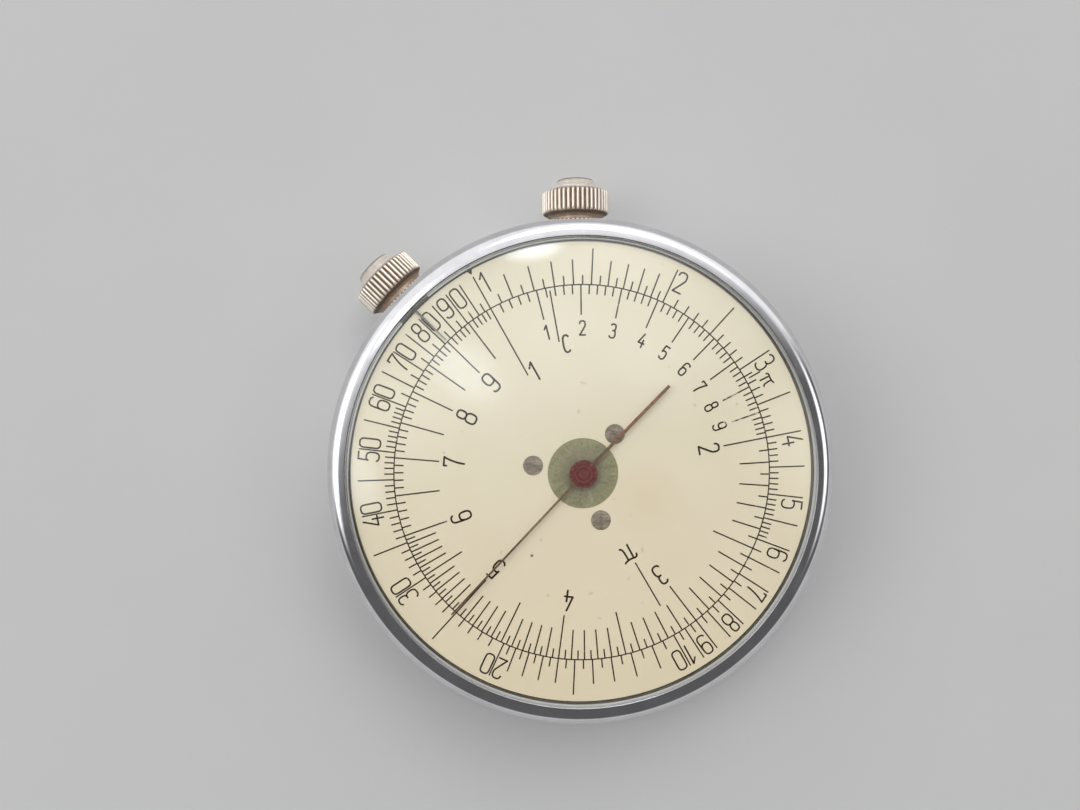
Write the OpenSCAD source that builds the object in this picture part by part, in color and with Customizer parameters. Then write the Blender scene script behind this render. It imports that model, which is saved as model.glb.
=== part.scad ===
// Pocket circular slide rule in a watch-type case with two knobs.
// The rear rim lies on z = 0, the dial axis is +Z and the hands knob points along +Y.
// One knob turns the front dial, the other turns a hand on each side through one arbor.

/* [Dials] */
// Radius of both dials
dial_r = 22.55; // [21.5:0.05:24]
// Thickness of both dials
dial_t = 0.4; // [0.3:0.05:0.6]
// Radius of the front dial's centre hole
dial_hole_r = 3.45; // [3.2:0.05:3.6]
// Radius of the rear dial's centre hole
rear_hole_r = 1.5; // [1.3:0.05:2.2]
// Angle of the unit mark from the hands knob, clockwise, in degrees
unit_angle = -28.6; // [-180:0.1:180]
// Width of the locating notch at the unit mark
notch_w = 0.5; // [0.3:0.05:0.8]
// Depth of the locating notch at the unit mark
notch_d = 0.45; // [0.2:0.05:0.6]
// Radius of the circle of the front dial's screws
dial_screw_circle = 4.95; // [4.9:0.05:6]
// Angle of the first dial screw from the hands knob, clockwise, in degrees
dial_screw_angle = 39.7; // [0:0.1:120]
// Air between a dial's edge and the bezel
dial_gap = 0.15; // [0.1:0.05:0.4]

/* [Hands and index] */
// Reach of a hand's long end from the dial axis
hand_len = 18.8; // [15:0.1:20.5]
// Reach of a hand's tail from the dial axis
hand_tail = 11.6; // [6:0.1:16]
// Width of a hand at its hub
hand_w = 0.28; // [0.2:0.02:0.6]
// Width of a hand just before its tip
hand_tip_w = 0.16; // [0.1:0.02:0.3]
// Width of a hand's tail
hand_tail_w = 0.3; // [0.2:0.02:0.8]
// Thickness of a hand
hand_t = 0.15; // [0.1:0.05:0.25]
// Radius of a hand's round hub
hand_hub_r = 1.36; // [1.1:0.02:2]
// Air between a hand and its dial
hand_lift = 0.55; // [0.45:0.05:0.8]
// Angle of the hands from the hands knob, clockwise, in degrees
hand_angle = 223; // [0:0.5:360]
// Radius at which the fixed index ends over the dial
index_tip_r = 18.6; // [16:0.1:21]
// Width of the fixed index at its root
index_w = 0.22; // [0.15:0.01:0.4]
// Width of the fixed index at its tip
index_tip_w = 0.14; // [0.08:0.01:0.2]
// Thickness of the fixed index and its tab
index_t = 0.1; // [0.08:0.01:0.2]
// Width of the index's tab under the glass
index_tab_w = 3.6; // [1.5:0.1:6]
// Air between the fixed index and the front dial
index_gap = 0.15; // [0.1:0.05:0.3]

/* [Glasses] */
// Thickness of both glasses
glass_t = 0.7; // [0.6:0.05:0.9]
// Width of the bezel ledge that a glass seats on
ledge_w = 0.55; // [0.4:0.05:0.7]
// Rise of the front glass's dome above its edge
glass_dome_h = 1.3; // [0.8:0.05:1.6]
// Bevel on the front glass's outer edge
glass_bevel = 0.2; // [0.1:0.05:0.3]
// Air between the tip of the front hand and the front glass
glass_air = 0.15; // [0.1:0.05:0.4]
// Depth of the flat rear glass inside the rear rim
rear_glass_inset = 0.08; // [0.05:0.01:0.3]
// Bevel on the rear glass's outer edge
rear_glass_bevel = 0.2; // [0.1:0.05:0.4]

/* [Case] */
// Width of the bevel inside a bezel's rim
bevel_w = 0.2; // [0.1:0.05:0.5]
// Height of the bevel inside a bezel's rim
bevel_h = 0.15; // [0.1:0.05:0.4]
// Straight wall of the front bezel between its ledge and its bevel
bezel_bore_h = 0.4; // [0.2:0.05:0.5]
// Width of the flat rim of a bezel
land_w = 0.15; // [0.1:0.05:0.4]
// Radius of the round outer edge of a bezel
bezel_round_r = 1.4; // [0.8:0.1:2]
// Height of a bezel from its seam to its rim
bezel_h = 2.5; // [2.2:0.1:3]
// How far a bezel draws in from its widest radius to its seam
bezel_draw = 0.25; // [0.1:0.05:0.4]
// How far the band's edge lies inside a bezel's widest radius
band_edge_in = 0.45; // [0.3:0.05:0.6]
// How far the band swells in the middle
band_swell = 0.35; // [0.1:0.05:0.45]
// Shoulder of the band that a bezel stands on
band_shoulder_w = 0.55; // [0.4:0.05:0.7]
// Height of the spigots that the bezels snap over
spigot_h = 1; // [0.8:0.05:1.1]
// Wall of the case ring at its spigots
spigot_t = 1.1; // [0.9:0.05:1.3]
// Width of the ring's inner seat under the main plate
plate_seat_w = 2.1; // [1.8:0.1:3]
// Thickness of the ring's inner seat
plate_seat_t = 1.2; // [0.8:0.1:1.6]

/* [Movement] */
// Thickness of the main plate
plate_t = 2.4; // [2.2:0.1:2.6]
// Air between the main plate's edge and the case ring
plate_gap = 0.3; // [0.1:0.05:0.6]
// Radius of the centre arbor
arbor_r = 1; // [0.9:0.05:1.2]
// Radius of the arbor's ends in the hand collets
arbor_end_r = 0.55; // [0.4:0.05:0.65]
// Wall of the centre tube
tube_wall = 1; // [0.8:0.05:1.1]
// Step of the centre tube under the collar
tube_step = 0.35; // [0.2:0.05:0.5]
// Radius of the centre tube's foot in the main plate
tube_foot_r = 2.6; // [2.5:0.05:3]
// Radius of the centre tube's flange on the main plate
tube_flange_r = 3.4; // [3.2:0.05:4]
// Thickness of the centre tube's flange
tube_flange_t = 0.3; // [0.2:0.05:0.5]
// Radius of the collar that keeps the dial wheel on its tube
collar_r = 3.8; // [3.7:0.05:4]
// Thickness of that collar under the front dial
collar_t = 0.5; // [0.3:0.05:0.8]
// How far the collar's raised face lies below the front dial's face
collar_inset = 0.05; // [0.03:0.01:0.2]
// Height of the boss that carries the front dial
boss_h = 2.6; // [2:0.1:3.5]
// Wall of the dial wheel's bearing hub
dial_hub_wall = 1.3; // [1:0.05:1.5]
// Wall of the hands wheel's hub
hands_hub_wall = 1.6; // [1:0.05:2]
// Width of the boss outside its screws' heads
boss_margin = 0.5; // [0.3:0.05:1]
// Least width of web left beside the lightening holes
web_margin = 0.9; // [0.6:0.05:1.2]
// Thickness of the solid rims of the toothed wheels
rim_t = 0.9; // [0.8:0.05:1.2]
// Thickness of the dial wheel's web
web_t = 0.6; // [0.4:0.05:0.7]
// Space between the rear dial and the hands wheel
rear_space = 1.7; // [1:0.1:2.5]
// Thickness of the friction washers
washer_t = 0.12; // [0.08:0.01:0.2]
// Dish of the friction washers
washer_dish = 0.2; // [0.1:0.01:0.3]
// Radius of the rear dial's pillars
pillar_r = 1.2; // [1.1:0.05:1.6]
// Step from a pillar's radius to its spigot in the main plate
pillar_step = 0.3; // [0.2:0.05:0.5]
// Radius of the circle of the rear dial's pillars
pillar_circle = 16.5; // [15:0.1:18.5]
// Radius of the screws' threaded shanks
screw_r = 0.6; // [0.45:0.05:0.65]
// Radius of the screws' heads
screw_head_r = 0.97; // [0.85:0.01:1.05]
// Height of the plate screws' heads
screw_head_h = 0.5; // [0.35:0.05:0.8]
// Length of the screws' shanks below the dials
screw_len = 1.8; // [1:0.1:2]
// Width of the screws' slots
slot_w = 0.28; // [0.15:0.01:0.4]
// Depth of the screws' slots
slot_d = 0.16; // [0.1:0.01:0.25]

/* [Gears] */
// Module of all teeth
gear_module = 0.3; // [0.28:0.01:0.32]
// Teeth of the contrate wheel under the front dial
dial_teeth = 96; // [90:1:102]
// Teeth of the contrate wheel on the arbor
hands_teeth = 60; // [56:1:64]
// Teeth of both pinions
pinion_teeth = 12; // [12:1:14]
// Length of the pinions' teeth
pinion_w = 1.2; // [0.8:0.1:1.4]
// How much wider a wheel's toothed ring is than the pinion on each side
ring_margin = 0.3; // [0.1:0.05:0.5]
// Amount by which teeth are thinned and gaps are widened at the pitch line
gear_play = 0.12; // [0.1:0.01:0.16]

/* [Knobs] */
// Angle from the hands knob to the dial knob, anticlockwise, in degrees
knob_angle = 45; // [40:1:90]
// Radius over the knurling
knob_r = 3.5; // [3:0.1:4]
// Radius of the knob's smooth neck
knob_neck_r = 2.65; // [2.3:0.05:2.9]
// Air between the case band and a knob's neck
knob_gap = 0.15; // [0.1:0.05:0.5]
// Length of the neck
knob_neck_len = 0.7; // [0.6:0.05:1.2]
// Length of the cone between the neck and the knurling
knob_cone_len = 0.45; // [0.3:0.05:0.8]
// Length of the knurled rim
knurl_len = 2.3; // [1.8:0.1:3.5]
// Length of the bevels that run out on the ridges at both ends
knurl_bevel_len = 0.4; // [0.2:0.05:0.6]
// How far the bevels cut below the grooves at the ends
knurl_bevel_cut = 0.06; // [0.03:0.01:0.1]
// Number of ridges round a knob
knurl_count = 44; // [32:1:56]
// Depth of the grooves between the ridges
knurl_d = 0.25; // [0.1:0.01:0.3]
// Base radius of the smooth end cap
cap_r = 2.65; // [2.2:0.05:2.8]
// Radius of the end cap's flat face
cap_face_r = 1.8; // [1.4:0.05:2]
// Height of the end cap
cap_h = 1.25; // [0.8:0.05:2]
// Radius of the cap's spigot in the knob
cap_spigot_r = 1.3; // [1.1:0.05:1.6]
// Length of the cap's spigot
cap_spigot_len = 0.5; // [0.3:0.05:0.8]
// Radius of the colour dot in the end cap
dot_r = 0.9; // [0.5:0.05:1.1]
// Depth of the colour dot
dot_t = 0.3; // [0.2:0.05:0.5]
// Radius of the knob stems
stem_r = 0.8; // [0.7:0.05:0.9]
// Radius of the stem tubes in the case
stem_tube_r = 1.6; // [1.4:0.05:1.8]
// How far a stem tube reaches into the knob's neck
stem_tube_reach = 0.6; // [0.3:0.05:0.7]
// Length of a stem's inner pivot in the main plate
pivot_len = 1.5; // [1:0.1:2]

/* [Clearances] */
// Radial gap of pieces that are pressed or seated together
seat_gap = 0.01; // [0.005:0.005:0.02]
// Radial clearance of turning fits
run_gap = 0.04; // [0.02:0.01:0.08]
// Air between pieces that pass each other
pass_gap = 0.1; // [0.1:0.05:0.2]
// End play of the turning pieces
end_play = 0.05; // [0.03:0.01:0.1]

/* [Hidden] */
$fn = 96;
cut = 1;
pressure_angle = 20;
arc_steps = 10;
flank_steps = 3;
screw_count = 3;
third = 360 / screw_count;
pillar_angle = 30;
plate_screw_angle = 60;
rear_slot_angle = 35;
front_slot_angles = [-45, 90, -27];
dial_web_holes = 6;
hands_web_holes = 5;

// Radii, from the dials outwards
ledge_r = dial_r + dial_gap;
glass_r = ledge_r + ledge_w;
bevel_r = glass_r + bevel_w;
case_r = bevel_r + land_w + bezel_round_r;
band_edge_r = case_r - band_edge_in;
band_crown_r = band_edge_r + band_swell;
spigot_r = band_edge_r - band_shoulder_w;
case_in_r = spigot_r - spigot_t;
plate_r = case_in_r - plate_gap;
plate_seat_r = case_in_r - plate_seat_w;
plate_screw_circle = (plate_seat_r + plate_r) / 2;

// Gear sizes, with stub teeth
addendum = 0.7 * gear_module;
dedendum = 0.95 * gear_module;
pinion_pitch_r = gear_module * pinion_teeth / 2;
pinion_tip_r = pinion_pitch_r + addendum;
pinion_root_r = pinion_pitch_r - dedendum;
pinion_base_r = pinion_pitch_r * cos(pressure_angle);
dial_pitch_r = gear_module * dial_teeth / 2;
hands_pitch_r = gear_module * hands_teeth / 2;
ring_half_w = pinion_w / 2 + ring_margin;
half_pitch = PI * gear_module / 2;

// Heights, from the rear rim upwards
rear_ledge_z = rear_glass_inset + glass_t;
arbor_bottom_z = rear_ledge_z + 2 * pass_gap;
rear_hand_z = arbor_bottom_z + pass_gap;
rear_dial_z = rear_hand_z + hand_t + hand_lift;
rear_dial_top_z = rear_dial_z + dial_t;
rear_shoulder_z = rear_dial_top_z + 2 * pass_gap;
hands_rim_z = rear_dial_top_z + rear_space;
hands_root_z = hands_rim_z + rim_t;
stem_z = hands_root_z + dedendum + pinion_pitch_r;
plate_z = stem_z - plate_t / 2;
plate_top_z = stem_z + plate_t / 2;
washer_h = washer_t + washer_dish + end_play;
hands_hub_top_z = plate_z - washer_h;
flange_top_z = plate_top_z + tube_flange_t;
dial_hub_z = flange_top_z + washer_h;
dial_root_z = stem_z + pinion_pitch_r + dedendum;
dial_rim_top_z = dial_root_z + rim_t;
dial_z = dial_rim_top_z + boss_h;
dial_top_z = dial_z + dial_t;
collar_top_z = dial_z - pass_gap;
collar_z = collar_top_z - collar_t;
collar_face_z = dial_top_z - collar_inset;
front_shoulder_z = collar_face_z + pass_gap;
front_hand_z = dial_top_z + hand_lift;
arbor_top_z = front_hand_z + hand_t + pass_gap;
front_ledge_z = dial_top_z + index_gap + index_t;
rim_z = front_ledge_z + bezel_bore_h + bevel_h;
front_seam_z = rim_z - bezel_h;
rear_seam_z = bezel_h;

// Widths round the centre
tube_r = arbor_r + run_gap + tube_wall;
tube_end_r = tube_r - tube_step;
dial_hub_r = tube_r + run_gap + dial_hub_wall;
boss_r = dial_screw_circle + screw_head_r + boss_margin;
collet_r = (arbor_end_r + hand_hub_r) / 2;
hands_hub_r = arbor_r + hands_hub_wall;

// Lengths along a knob's axis, from the dial axis
neck_start = band_crown_r + knob_gap;
cone_start = neck_start + knob_neck_len;
knurl_start = cone_start + knob_cone_len;
knurl_end = knurl_start + knurl_len;
stem_end = knurl_end - cap_spigot_len - seat_gap;
cap_end = knurl_end + cap_h;
stem_tube_start = case_in_r - plate_gap / 2;
stem_tube_end = neck_start + stem_tube_reach;

// Front glass: a shallow sphere whose edge is high enough for the hand under it
tip_rise = glass_dome_h * (1 - pow(hand_len / glass_r, 2));
hand_edge_z = front_hand_z + hand_t + glass_air + glass_t - tip_rise;
dome_edge_z = max(hand_edge_z, front_ledge_z + glass_t + pass_gap);
dome_r = (glass_r * glass_r + glass_dome_h * glass_dome_h) / (2 * glass_dome_h);
dome_z = dome_edge_z + glass_dome_h - dome_r;

// Points of an arc about [x, y]
function arc(x, y, r, from, to) =
    [for (i = [0 : arc_steps]) let (a = from + (to - from) * i / arc_steps) [x + r * cos(a), y + r * sin(a)]];

// Point at a radius and an angle
function polar(r, a) = [r * cos(a), r * sin(a)];

// Involute of an angle, in degrees
function involute(a) = tan(a) * 180 / PI - a;

// Half the angle that a pinion tooth fills at a radius
function tooth_half(r) =
    (half_pitch - gear_play) / 2 / pinion_pitch_r * 180 / PI
    + involute(pressure_angle) - involute(acos(min(1, pinion_base_r / r)));

// Outline of one pinion tooth that points along an angle
function pinion_tooth(a) =
    let (steps = [for (i = [0 : flank_steps]) pinion_base_r + (pinion_tip_r - pinion_base_r) * i / flank_steps])
    concat(
        [polar(pinion_root_r, a - tooth_half(pinion_base_r))],
        [for (r = steps) polar(r, a - tooth_half(r))],
        [for (i = [flank_steps : -1 : 0]) polar(steps[i], a + tooth_half(steps[i]))],
        [polar(pinion_root_r, a + tooth_half(pinion_base_r))]
    );

// Turns children clockwise from the hands knob, seen from the front
module clockwise(a) {
    rotate([0, 0, -a]) children();
}

// Lays children's +Z along a knob's axis, outwards from the dial axis
module along_stem(a) {
    translate([0, 0, stem_z]) rotate([0, 0, a]) rotate([-90, 0, 0]) children();
}

// Repeats children at equal thirds of a circle, clockwise from an angle
module in_thirds(first, r) {
    for (i = [0 : screw_count - 1])
        clockwise(first + i * third) translate([0, r, 0]) children();
}

// Ring or disc turned from a radius and height outline
module turned(outline) {
    rotate_extrude() polygon(outline);
}

// Plain ring
module ring(outer, inner, z0, z1) {
    difference() {
        translate([0, 0, z0]) cylinder(r = outer, h = z1 - z0);
        translate([0, 0, z0 - cut]) cylinder(r = inner, h = z1 - z0 + 2 * cut);
    }
}

// Section of a bezel, with its rim at height 0 and its seam below
function bezel_section(ledge_depth) = concat(
    [
        [ledge_r, -ledge_depth],
        [glass_r, -ledge_depth],
        [glass_r, -bevel_h],
        [bevel_r, 0]
    ],
    arc(case_r - bezel_round_r, -bezel_round_r, bezel_round_r, 90, 0),
    [
        [case_r - bezel_draw, -bezel_h],
        [spigot_r + seat_gap, -bezel_h],
        [spigot_r + seat_gap, -bezel_h + spigot_h + seat_gap],
        [ledge_r, -bezel_h + spigot_h + seat_gap]
    ]
);

// Case ring: swelling band, two spigots and an inner seat for the main plate
module case_ring() {
    half = (front_seam_z - rear_seam_z) / 2;
    swell = [
        for (i = [-arc_steps : arc_steps])
            [band_crown_r - band_swell * pow(i / arc_steps, 2), rear_seam_z + half * (1 + i / arc_steps)]
    ];
    color("silver") difference() {
        turned(concat(
            [[case_in_r, rear_seam_z - spigot_h], [spigot_r, rear_seam_z - spigot_h], [spigot_r, rear_seam_z]],
            swell,
            [
                [spigot_r, front_seam_z],
                [spigot_r, front_seam_z + spigot_h],
                [case_in_r, front_seam_z + spigot_h],
                [case_in_r, plate_z],
                [plate_seat_r, plate_z],
                [plate_seat_r, plate_z - plate_seat_t],
                [case_in_r, plate_z - plate_seat_t]
            ]
        ));
        for (a = [0, knob_angle])
            along_stem(a) translate([0, 0, plate_r]) cylinder(r = stem_tube_r, h = case_r - plate_r + cut);
        in_thirds(plate_screw_angle, plate_screw_circle)
            translate([0, 0, plate_z - plate_seat_t - cut])
                cylinder(r = screw_r + seat_gap, h = plate_seat_t + 2 * cut);
    }
}

// Front bezel, with a recess in its ledge for the index's tab
module front_bezel() {
    color("gainsboro") difference() {
        translate([0, 0, rim_z]) turned(bezel_section(rim_z - front_ledge_z));
        intersection() {
            index_tab_space(seat_gap);
            ring(glass_r, ledge_r - cut, front_ledge_z - index_t, rim_z);
        }
    }
}

// Rear bezel, the front one turned over with a deeper ledge
module rear_bezel() {
    color("gainsboro") mirror([0, 0, 1]) turned(bezel_section(rear_ledge_z));
}

// Straight-sided space of the index's tab in the ledge
module index_tab_space(gap) {
    rotate([0, 0, knob_angle])
        translate([-index_tab_w / 2 - gap, ledge_r - cut, front_ledge_z - index_t])
            cube([index_tab_w + 2 * gap, ledge_w + 2 * cut, index_t]);
}

// Front glass: shallow dome on a flat foot, bevelled round its outer edge
module front_glass() {
    outer = glass_r - seat_gap;
    inner = glass_r - glass_t;
    color("aliceblue", 0.3) turned(concat(
        [[inner, front_ledge_z], [outer, front_ledge_z], [outer, dome_edge_z - glass_bevel]],
        arc(0, dome_z, dome_r, acos((outer - glass_bevel) / dome_r), 90),
        arc(0, dome_z, dome_r - glass_t, 90, acos(inner / (dome_r - glass_t)))
    ));
}

// Rear glass: flat disc with a bevelled outer edge
module rear_glass() {
    color("aliceblue", 0.3) turned([
        [0, rear_glass_inset],
        [glass_r - seat_gap - rear_glass_bevel, rear_glass_inset],
        [glass_r - seat_gap, rear_glass_inset + rear_glass_bevel],
        [glass_r - seat_gap, rear_ledge_z],
        [0, rear_ledge_z]
    ]);
}

// Fixed index: thin pointer over the dial, on a tab held under the front glass
module fixed_index() {
    color("dimgray") {
        intersection() {
            index_tab_space(0);
            ring(glass_r - seat_gap, ledge_r, front_ledge_z - index_t, front_ledge_z);
        }
        rotate([0, 0, knob_angle]) translate([0, 0, front_ledge_z - index_t])
            linear_extrude(index_t)
                polygon([
                    [-index_w / 2, ledge_r + ledge_w / 2],
                    [-index_tip_w / 2, index_tip_r],
                    [index_tip_w / 2, index_tip_r],
                    [index_w / 2, ledge_r + ledge_w / 2]
                ]);
    }
}

// Space that a pinion turns in, and the bores of its stem
module stem_space(a, pitch_r) {
    along_stem(a) {
        translate([0, 0, pitch_r - ring_half_w - pivot_len])
            cylinder(r = stem_r + run_gap, h = plate_r + cut);
        translate([-pinion_tip_r - pass_gap, -plate_t, pitch_r - pinion_w / 2 - end_play])
            cube([2 * (pinion_tip_r + pass_gap), 2 * plate_t, pinion_w + 2 * end_play]);
    }
}

// Main plate: carries the centre tube, both stems, the pillars and their pinions' windows
module main_plate() {
    color("darkkhaki") difference() {
        translate([0, 0, plate_z]) cylinder(r = plate_r, h = plate_t);
        translate([0, 0, plate_z - cut]) cylinder(r = tube_foot_r + seat_gap, h = plate_t + 2 * cut);
        stem_space(knob_angle, dial_pitch_r);
        stem_space(0, hands_pitch_r);
        in_thirds(plate_screw_angle, plate_screw_circle)
            translate([0, 0, plate_z - cut]) cylinder(r = screw_r + seat_gap, h = plate_t + 2 * cut);
        in_thirds(pillar_angle, pillar_circle)
            translate([0, 0, plate_z - cut]) cylinder(r = pillar_r - pillar_step + seat_gap, h = plate_t / 2 + cut);
    }
}

// Cheese-head screw standing on height 0, with its shank below
module cheese_screw(shank) {
    difference() {
        union() {
            cylinder(r = screw_head_r, h = screw_head_h);
            translate([0, 0, -shank]) cylinder(r = screw_r, h = shank + seat_gap);
        }
        translate([-screw_head_r - cut, -slot_w / 2, screw_head_h - slot_d])
            cube([2 * (screw_head_r + cut), slot_w, slot_d + cut]);
    }
}

// Countersunk screw with its slotted face at height 0
module flush_screw() {
    difference() {
        union() {
            translate([0, 0, -dial_t]) cylinder(r1 = screw_r, r2 = screw_head_r, h = dial_t);
            translate([0, 0, -dial_t - screw_len]) cylinder(r = screw_r, h = screw_len + seat_gap);
        }
        translate([-screw_head_r - cut, -slot_w / 2, -slot_d])
            cube([2 * (screw_head_r + cut), slot_w, slot_d + cut]);
    }
}

// Countersunk hole for a flush screw, face at height 0
module flush_hole() {
    translate([0, 0, -dial_t])
        cylinder(r1 = screw_r + seat_gap, r2 = screw_head_r + seat_gap, h = dial_t);
    translate([0, 0, -dial_t - cut]) cylinder(r = screw_r + seat_gap, h = cut + seat_gap);
    cylinder(r = screw_head_r + seat_gap, h = cut);
}

// Screws that hold the main plate on the ring's seat
module plate_screws() {
    color("lightslategray") in_thirds(plate_screw_angle, plate_screw_circle)
        translate([0, 0, plate_top_z]) cheese_screw(plate_t + plate_seat_t);
}

// Centre tube: foot in the plate, flange on it, bearing for the dial wheel, seat for the collar
module center_tube() {
    color("goldenrod") turned([
        [arbor_r + run_gap, plate_z],
        [tube_foot_r, plate_z],
        [tube_foot_r, plate_top_z],
        [tube_flange_r, plate_top_z],
        [tube_flange_r, flange_top_z],
        [tube_r, flange_top_z],
        [tube_r, collar_z],
        [tube_end_r, collar_z],
        [tube_end_r, collar_top_z],
        [arbor_r + run_gap, collar_top_z]
    ]);
}

// Collar pressed over the centre tube's end, its raised face fills the front dial's centre hole
module retaining_collar() {
    color("darkolivegreen") turned([
        [tube_end_r + seat_gap, collar_z],
        [collar_r, collar_z],
        [collar_r, collar_top_z],
        [dial_hole_r - run_gap, collar_top_z],
        [dial_hole_r - run_gap, collar_face_z],
        [arbor_r + run_gap, collar_face_z],
        [arbor_r + run_gap, collar_top_z],
        [tube_end_r + seat_gap, collar_top_z]
    ]);
}

// Rear dial, fixed on three pillars
module rear_dial() {
    color("ivory") difference() {
        ring(dial_r, rear_hole_r, rear_dial_z, rear_dial_top_z);
        in_thirds(pillar_angle, pillar_circle)
            translate([0, 0, rear_dial_z]) mirror([0, 0, 1]) flush_hole();
    }
}

// Pillars between the main plate and the rear dial, with spigots in the plate
module rear_dial_pillars() {
    color("goldenrod") in_thirds(pillar_angle, pillar_circle) difference() {
        union() {
            translate([0, 0, rear_dial_top_z]) cylinder(r = pillar_r, h = plate_z - rear_dial_top_z);
            translate([0, 0, plate_z - seat_gap])
                cylinder(r = pillar_r - pillar_step, h = plate_t / 2);
        }
        translate([0, 0, rear_dial_top_z - cut]) cylinder(r = screw_r + seat_gap, h = screw_len + cut + pass_gap);
    }
}

// Screws that hold the rear dial on its pillars
module rear_dial_screws() {
    color("lightslategray") in_thirds(pillar_angle, pillar_circle)
        translate([0, 0, rear_dial_z]) mirror([0, 0, 1]) rotate([0, 0, rear_slot_angle]) flush_screw();
}

// Tube that guides a stem through the case ring
module stem_tube(a) {
    color("darkkhaki") along_stem(a)
        ring(stem_tube_r - seat_gap, stem_r + run_gap, stem_tube_start, stem_tube_end);
}

module dial_stem_tube() {
    stem_tube(knob_angle);
}

module hands_stem_tube() {
    stem_tube(0);
}

// Dished washer whose dish opens upwards from height 0
module dished_washer(inner, outer) {
    turned([
        [inner, 0],
        [outer, washer_dish],
        [outer, washer_dish + washer_t],
        [inner, washer_t]
    ]);
}

// Washer that brakes the dial wheel, on the centre tube's flange
module dial_friction_washer() {
    color("steelblue") translate([0, 0, flange_top_z])
        dished_washer(tube_r + pass_gap, tube_flange_r - pass_gap);
}

// Washer that brakes the hands wheel, under the centre tube's foot
module hands_friction_washer() {
    color("steelblue") translate([0, 0, plate_z]) mirror([0, 0, 1])
        dished_washer(arbor_r + pass_gap, tube_foot_r - pass_gap);
}

// Front dial with its centre hole, screw holes and locating notch
module front_dial() {
    color("ivory") difference() {
        ring(dial_r, dial_hole_r, dial_z, dial_top_z);
        in_thirds(dial_screw_angle, dial_screw_circle) translate([0, 0, dial_top_z]) flush_hole();
        clockwise(unit_angle) translate([0, 0, dial_z - cut]) linear_extrude(dial_t + 2 * cut)
            polygon([[-notch_w, dial_r + notch_d], [0, dial_r - notch_d], [notch_w, dial_r + notch_d]]);
    }
}

// Screws that hold the front dial on the dial wheel's boss
module front_dial_screws() {
    color("lightslategray") for (i = [0 : screw_count - 1])
        clockwise(dial_screw_angle + i * third) translate([0, dial_screw_circle, dial_top_z])
            rotate([0, 0, dial_screw_angle + i * third + front_slot_angles[i]]) flush_screw();
}

// Straight grooves cut across a toothed ring, one at the stem's angle
module contrate_grooves(a, teeth, pitch_r, side) {
    reach = 2 * ring_half_w + 2 * cut;
    mouth = addendum + pass_gap;
    half_gap = (half_pitch + gear_play) / 2;
    for (i = [0 : teeth - 1])
        rotate([0, 0, a + i * 360 / teeth])
            translate([0, pitch_r + reach / 2, stem_z + side * pinion_pitch_r])
                rotate([90, 0, 0]) linear_extrude(reach)
                    polygon([
                        [-half_gap + dedendum * tan(pressure_angle), side * dedendum],
                        [half_gap - dedendum * tan(pressure_angle), side * dedendum],
                        [half_gap + mouth * tan(pressure_angle), -side * mouth],
                        [-half_gap - mouth * tan(pressure_angle), -side * mouth]
                    ]);
}

// Dial wheel: contrate ring, pierced web, bearing hub and boss for the front dial
module dial_wheel() {
    ring_in = dial_pitch_r - ring_half_w;
    tip_z = stem_z + pinion_pitch_r - addendum;
    web_mid = (boss_r + ring_in) / 2;
    color("peru") difference() {
        union() {
            difference() {
                ring(dial_pitch_r + ring_half_w, ring_in, tip_z, dial_rim_top_z);
                contrate_grooves(knob_angle, dial_teeth, dial_pitch_r, 1);
            }
            difference() {
                translate([0, 0, dial_rim_top_z - web_t]) cylinder(r = ring_in, h = web_t);
                for (i = [0 : dial_web_holes - 1])
                    rotate([0, 0, i * 360 / dial_web_holes]) translate([0, web_mid, dial_rim_top_z - web_t - cut])
                        cylinder(r = (ring_in - boss_r) / 2 - web_margin, h = web_t + 2 * cut);
            }
            translate([0, 0, dial_hub_z]) cylinder(r = dial_hub_r, h = dial_rim_top_z - dial_hub_z);
            translate([0, 0, dial_rim_top_z - web_t]) cylinder(r = boss_r, h = boss_h + web_t);
        }
        translate([0, 0, dial_hub_z - cut]) cylinder(r = tube_r + run_gap, h = dial_z - dial_hub_z + 2 * cut);
        translate([0, 0, collar_z - end_play]) cylinder(r = collar_r + pass_gap, h = collar_t + cut);
        in_thirds(dial_screw_angle, dial_screw_circle)
            translate([0, 0, dial_z - screw_len - pass_gap])
                cylinder(r = screw_r + seat_gap, h = screw_len + pass_gap + cut);
    }
}

// Centre arbor with a thinner end for each hand
module center_arbor() {
    color("lightsteelblue") turned([
        [0, arbor_bottom_z],
        [arbor_end_r, arbor_bottom_z],
        [arbor_end_r, rear_shoulder_z],
        [arbor_r, rear_shoulder_z],
        [arbor_r, front_shoulder_z],
        [arbor_end_r, front_shoulder_z],
        [arbor_end_r, arbor_top_z],
        [0, arbor_top_z]
    ]);
}

// Hands wheel: contrate ring, pierced web and hub pressed on the arbor
module hands_wheel() {
    ring_in = hands_pitch_r - ring_half_w;
    tip_z = stem_z - pinion_pitch_r + addendum;
    web_mid = (hands_hub_r + ring_in) / 2;
    color("peru") difference() {
        union() {
            difference() {
                ring(hands_pitch_r + ring_half_w, ring_in, hands_rim_z, tip_z);
                contrate_grooves(0, hands_teeth, hands_pitch_r, -1);
            }
            difference() {
                translate([0, 0, hands_rim_z]) cylinder(r = ring_in, h = web_t);
                for (i = [0 : hands_web_holes - 1])
                    rotate([0, 0, i * 360 / hands_web_holes]) translate([0, web_mid, hands_rim_z - cut])
                        cylinder(r = (ring_in - hands_hub_r) / 2 - web_margin, h = web_t + 2 * cut);
            }
            translate([0, 0, hands_rim_z]) cylinder(r = hands_hub_r, h = hands_hub_top_z - hands_rim_z);
        }
        translate([0, 0, hands_rim_z - cut])
            cylinder(r = arbor_r + seat_gap, h = hands_hub_top_z - hands_rim_z + 2 * cut);
    }
}

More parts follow.
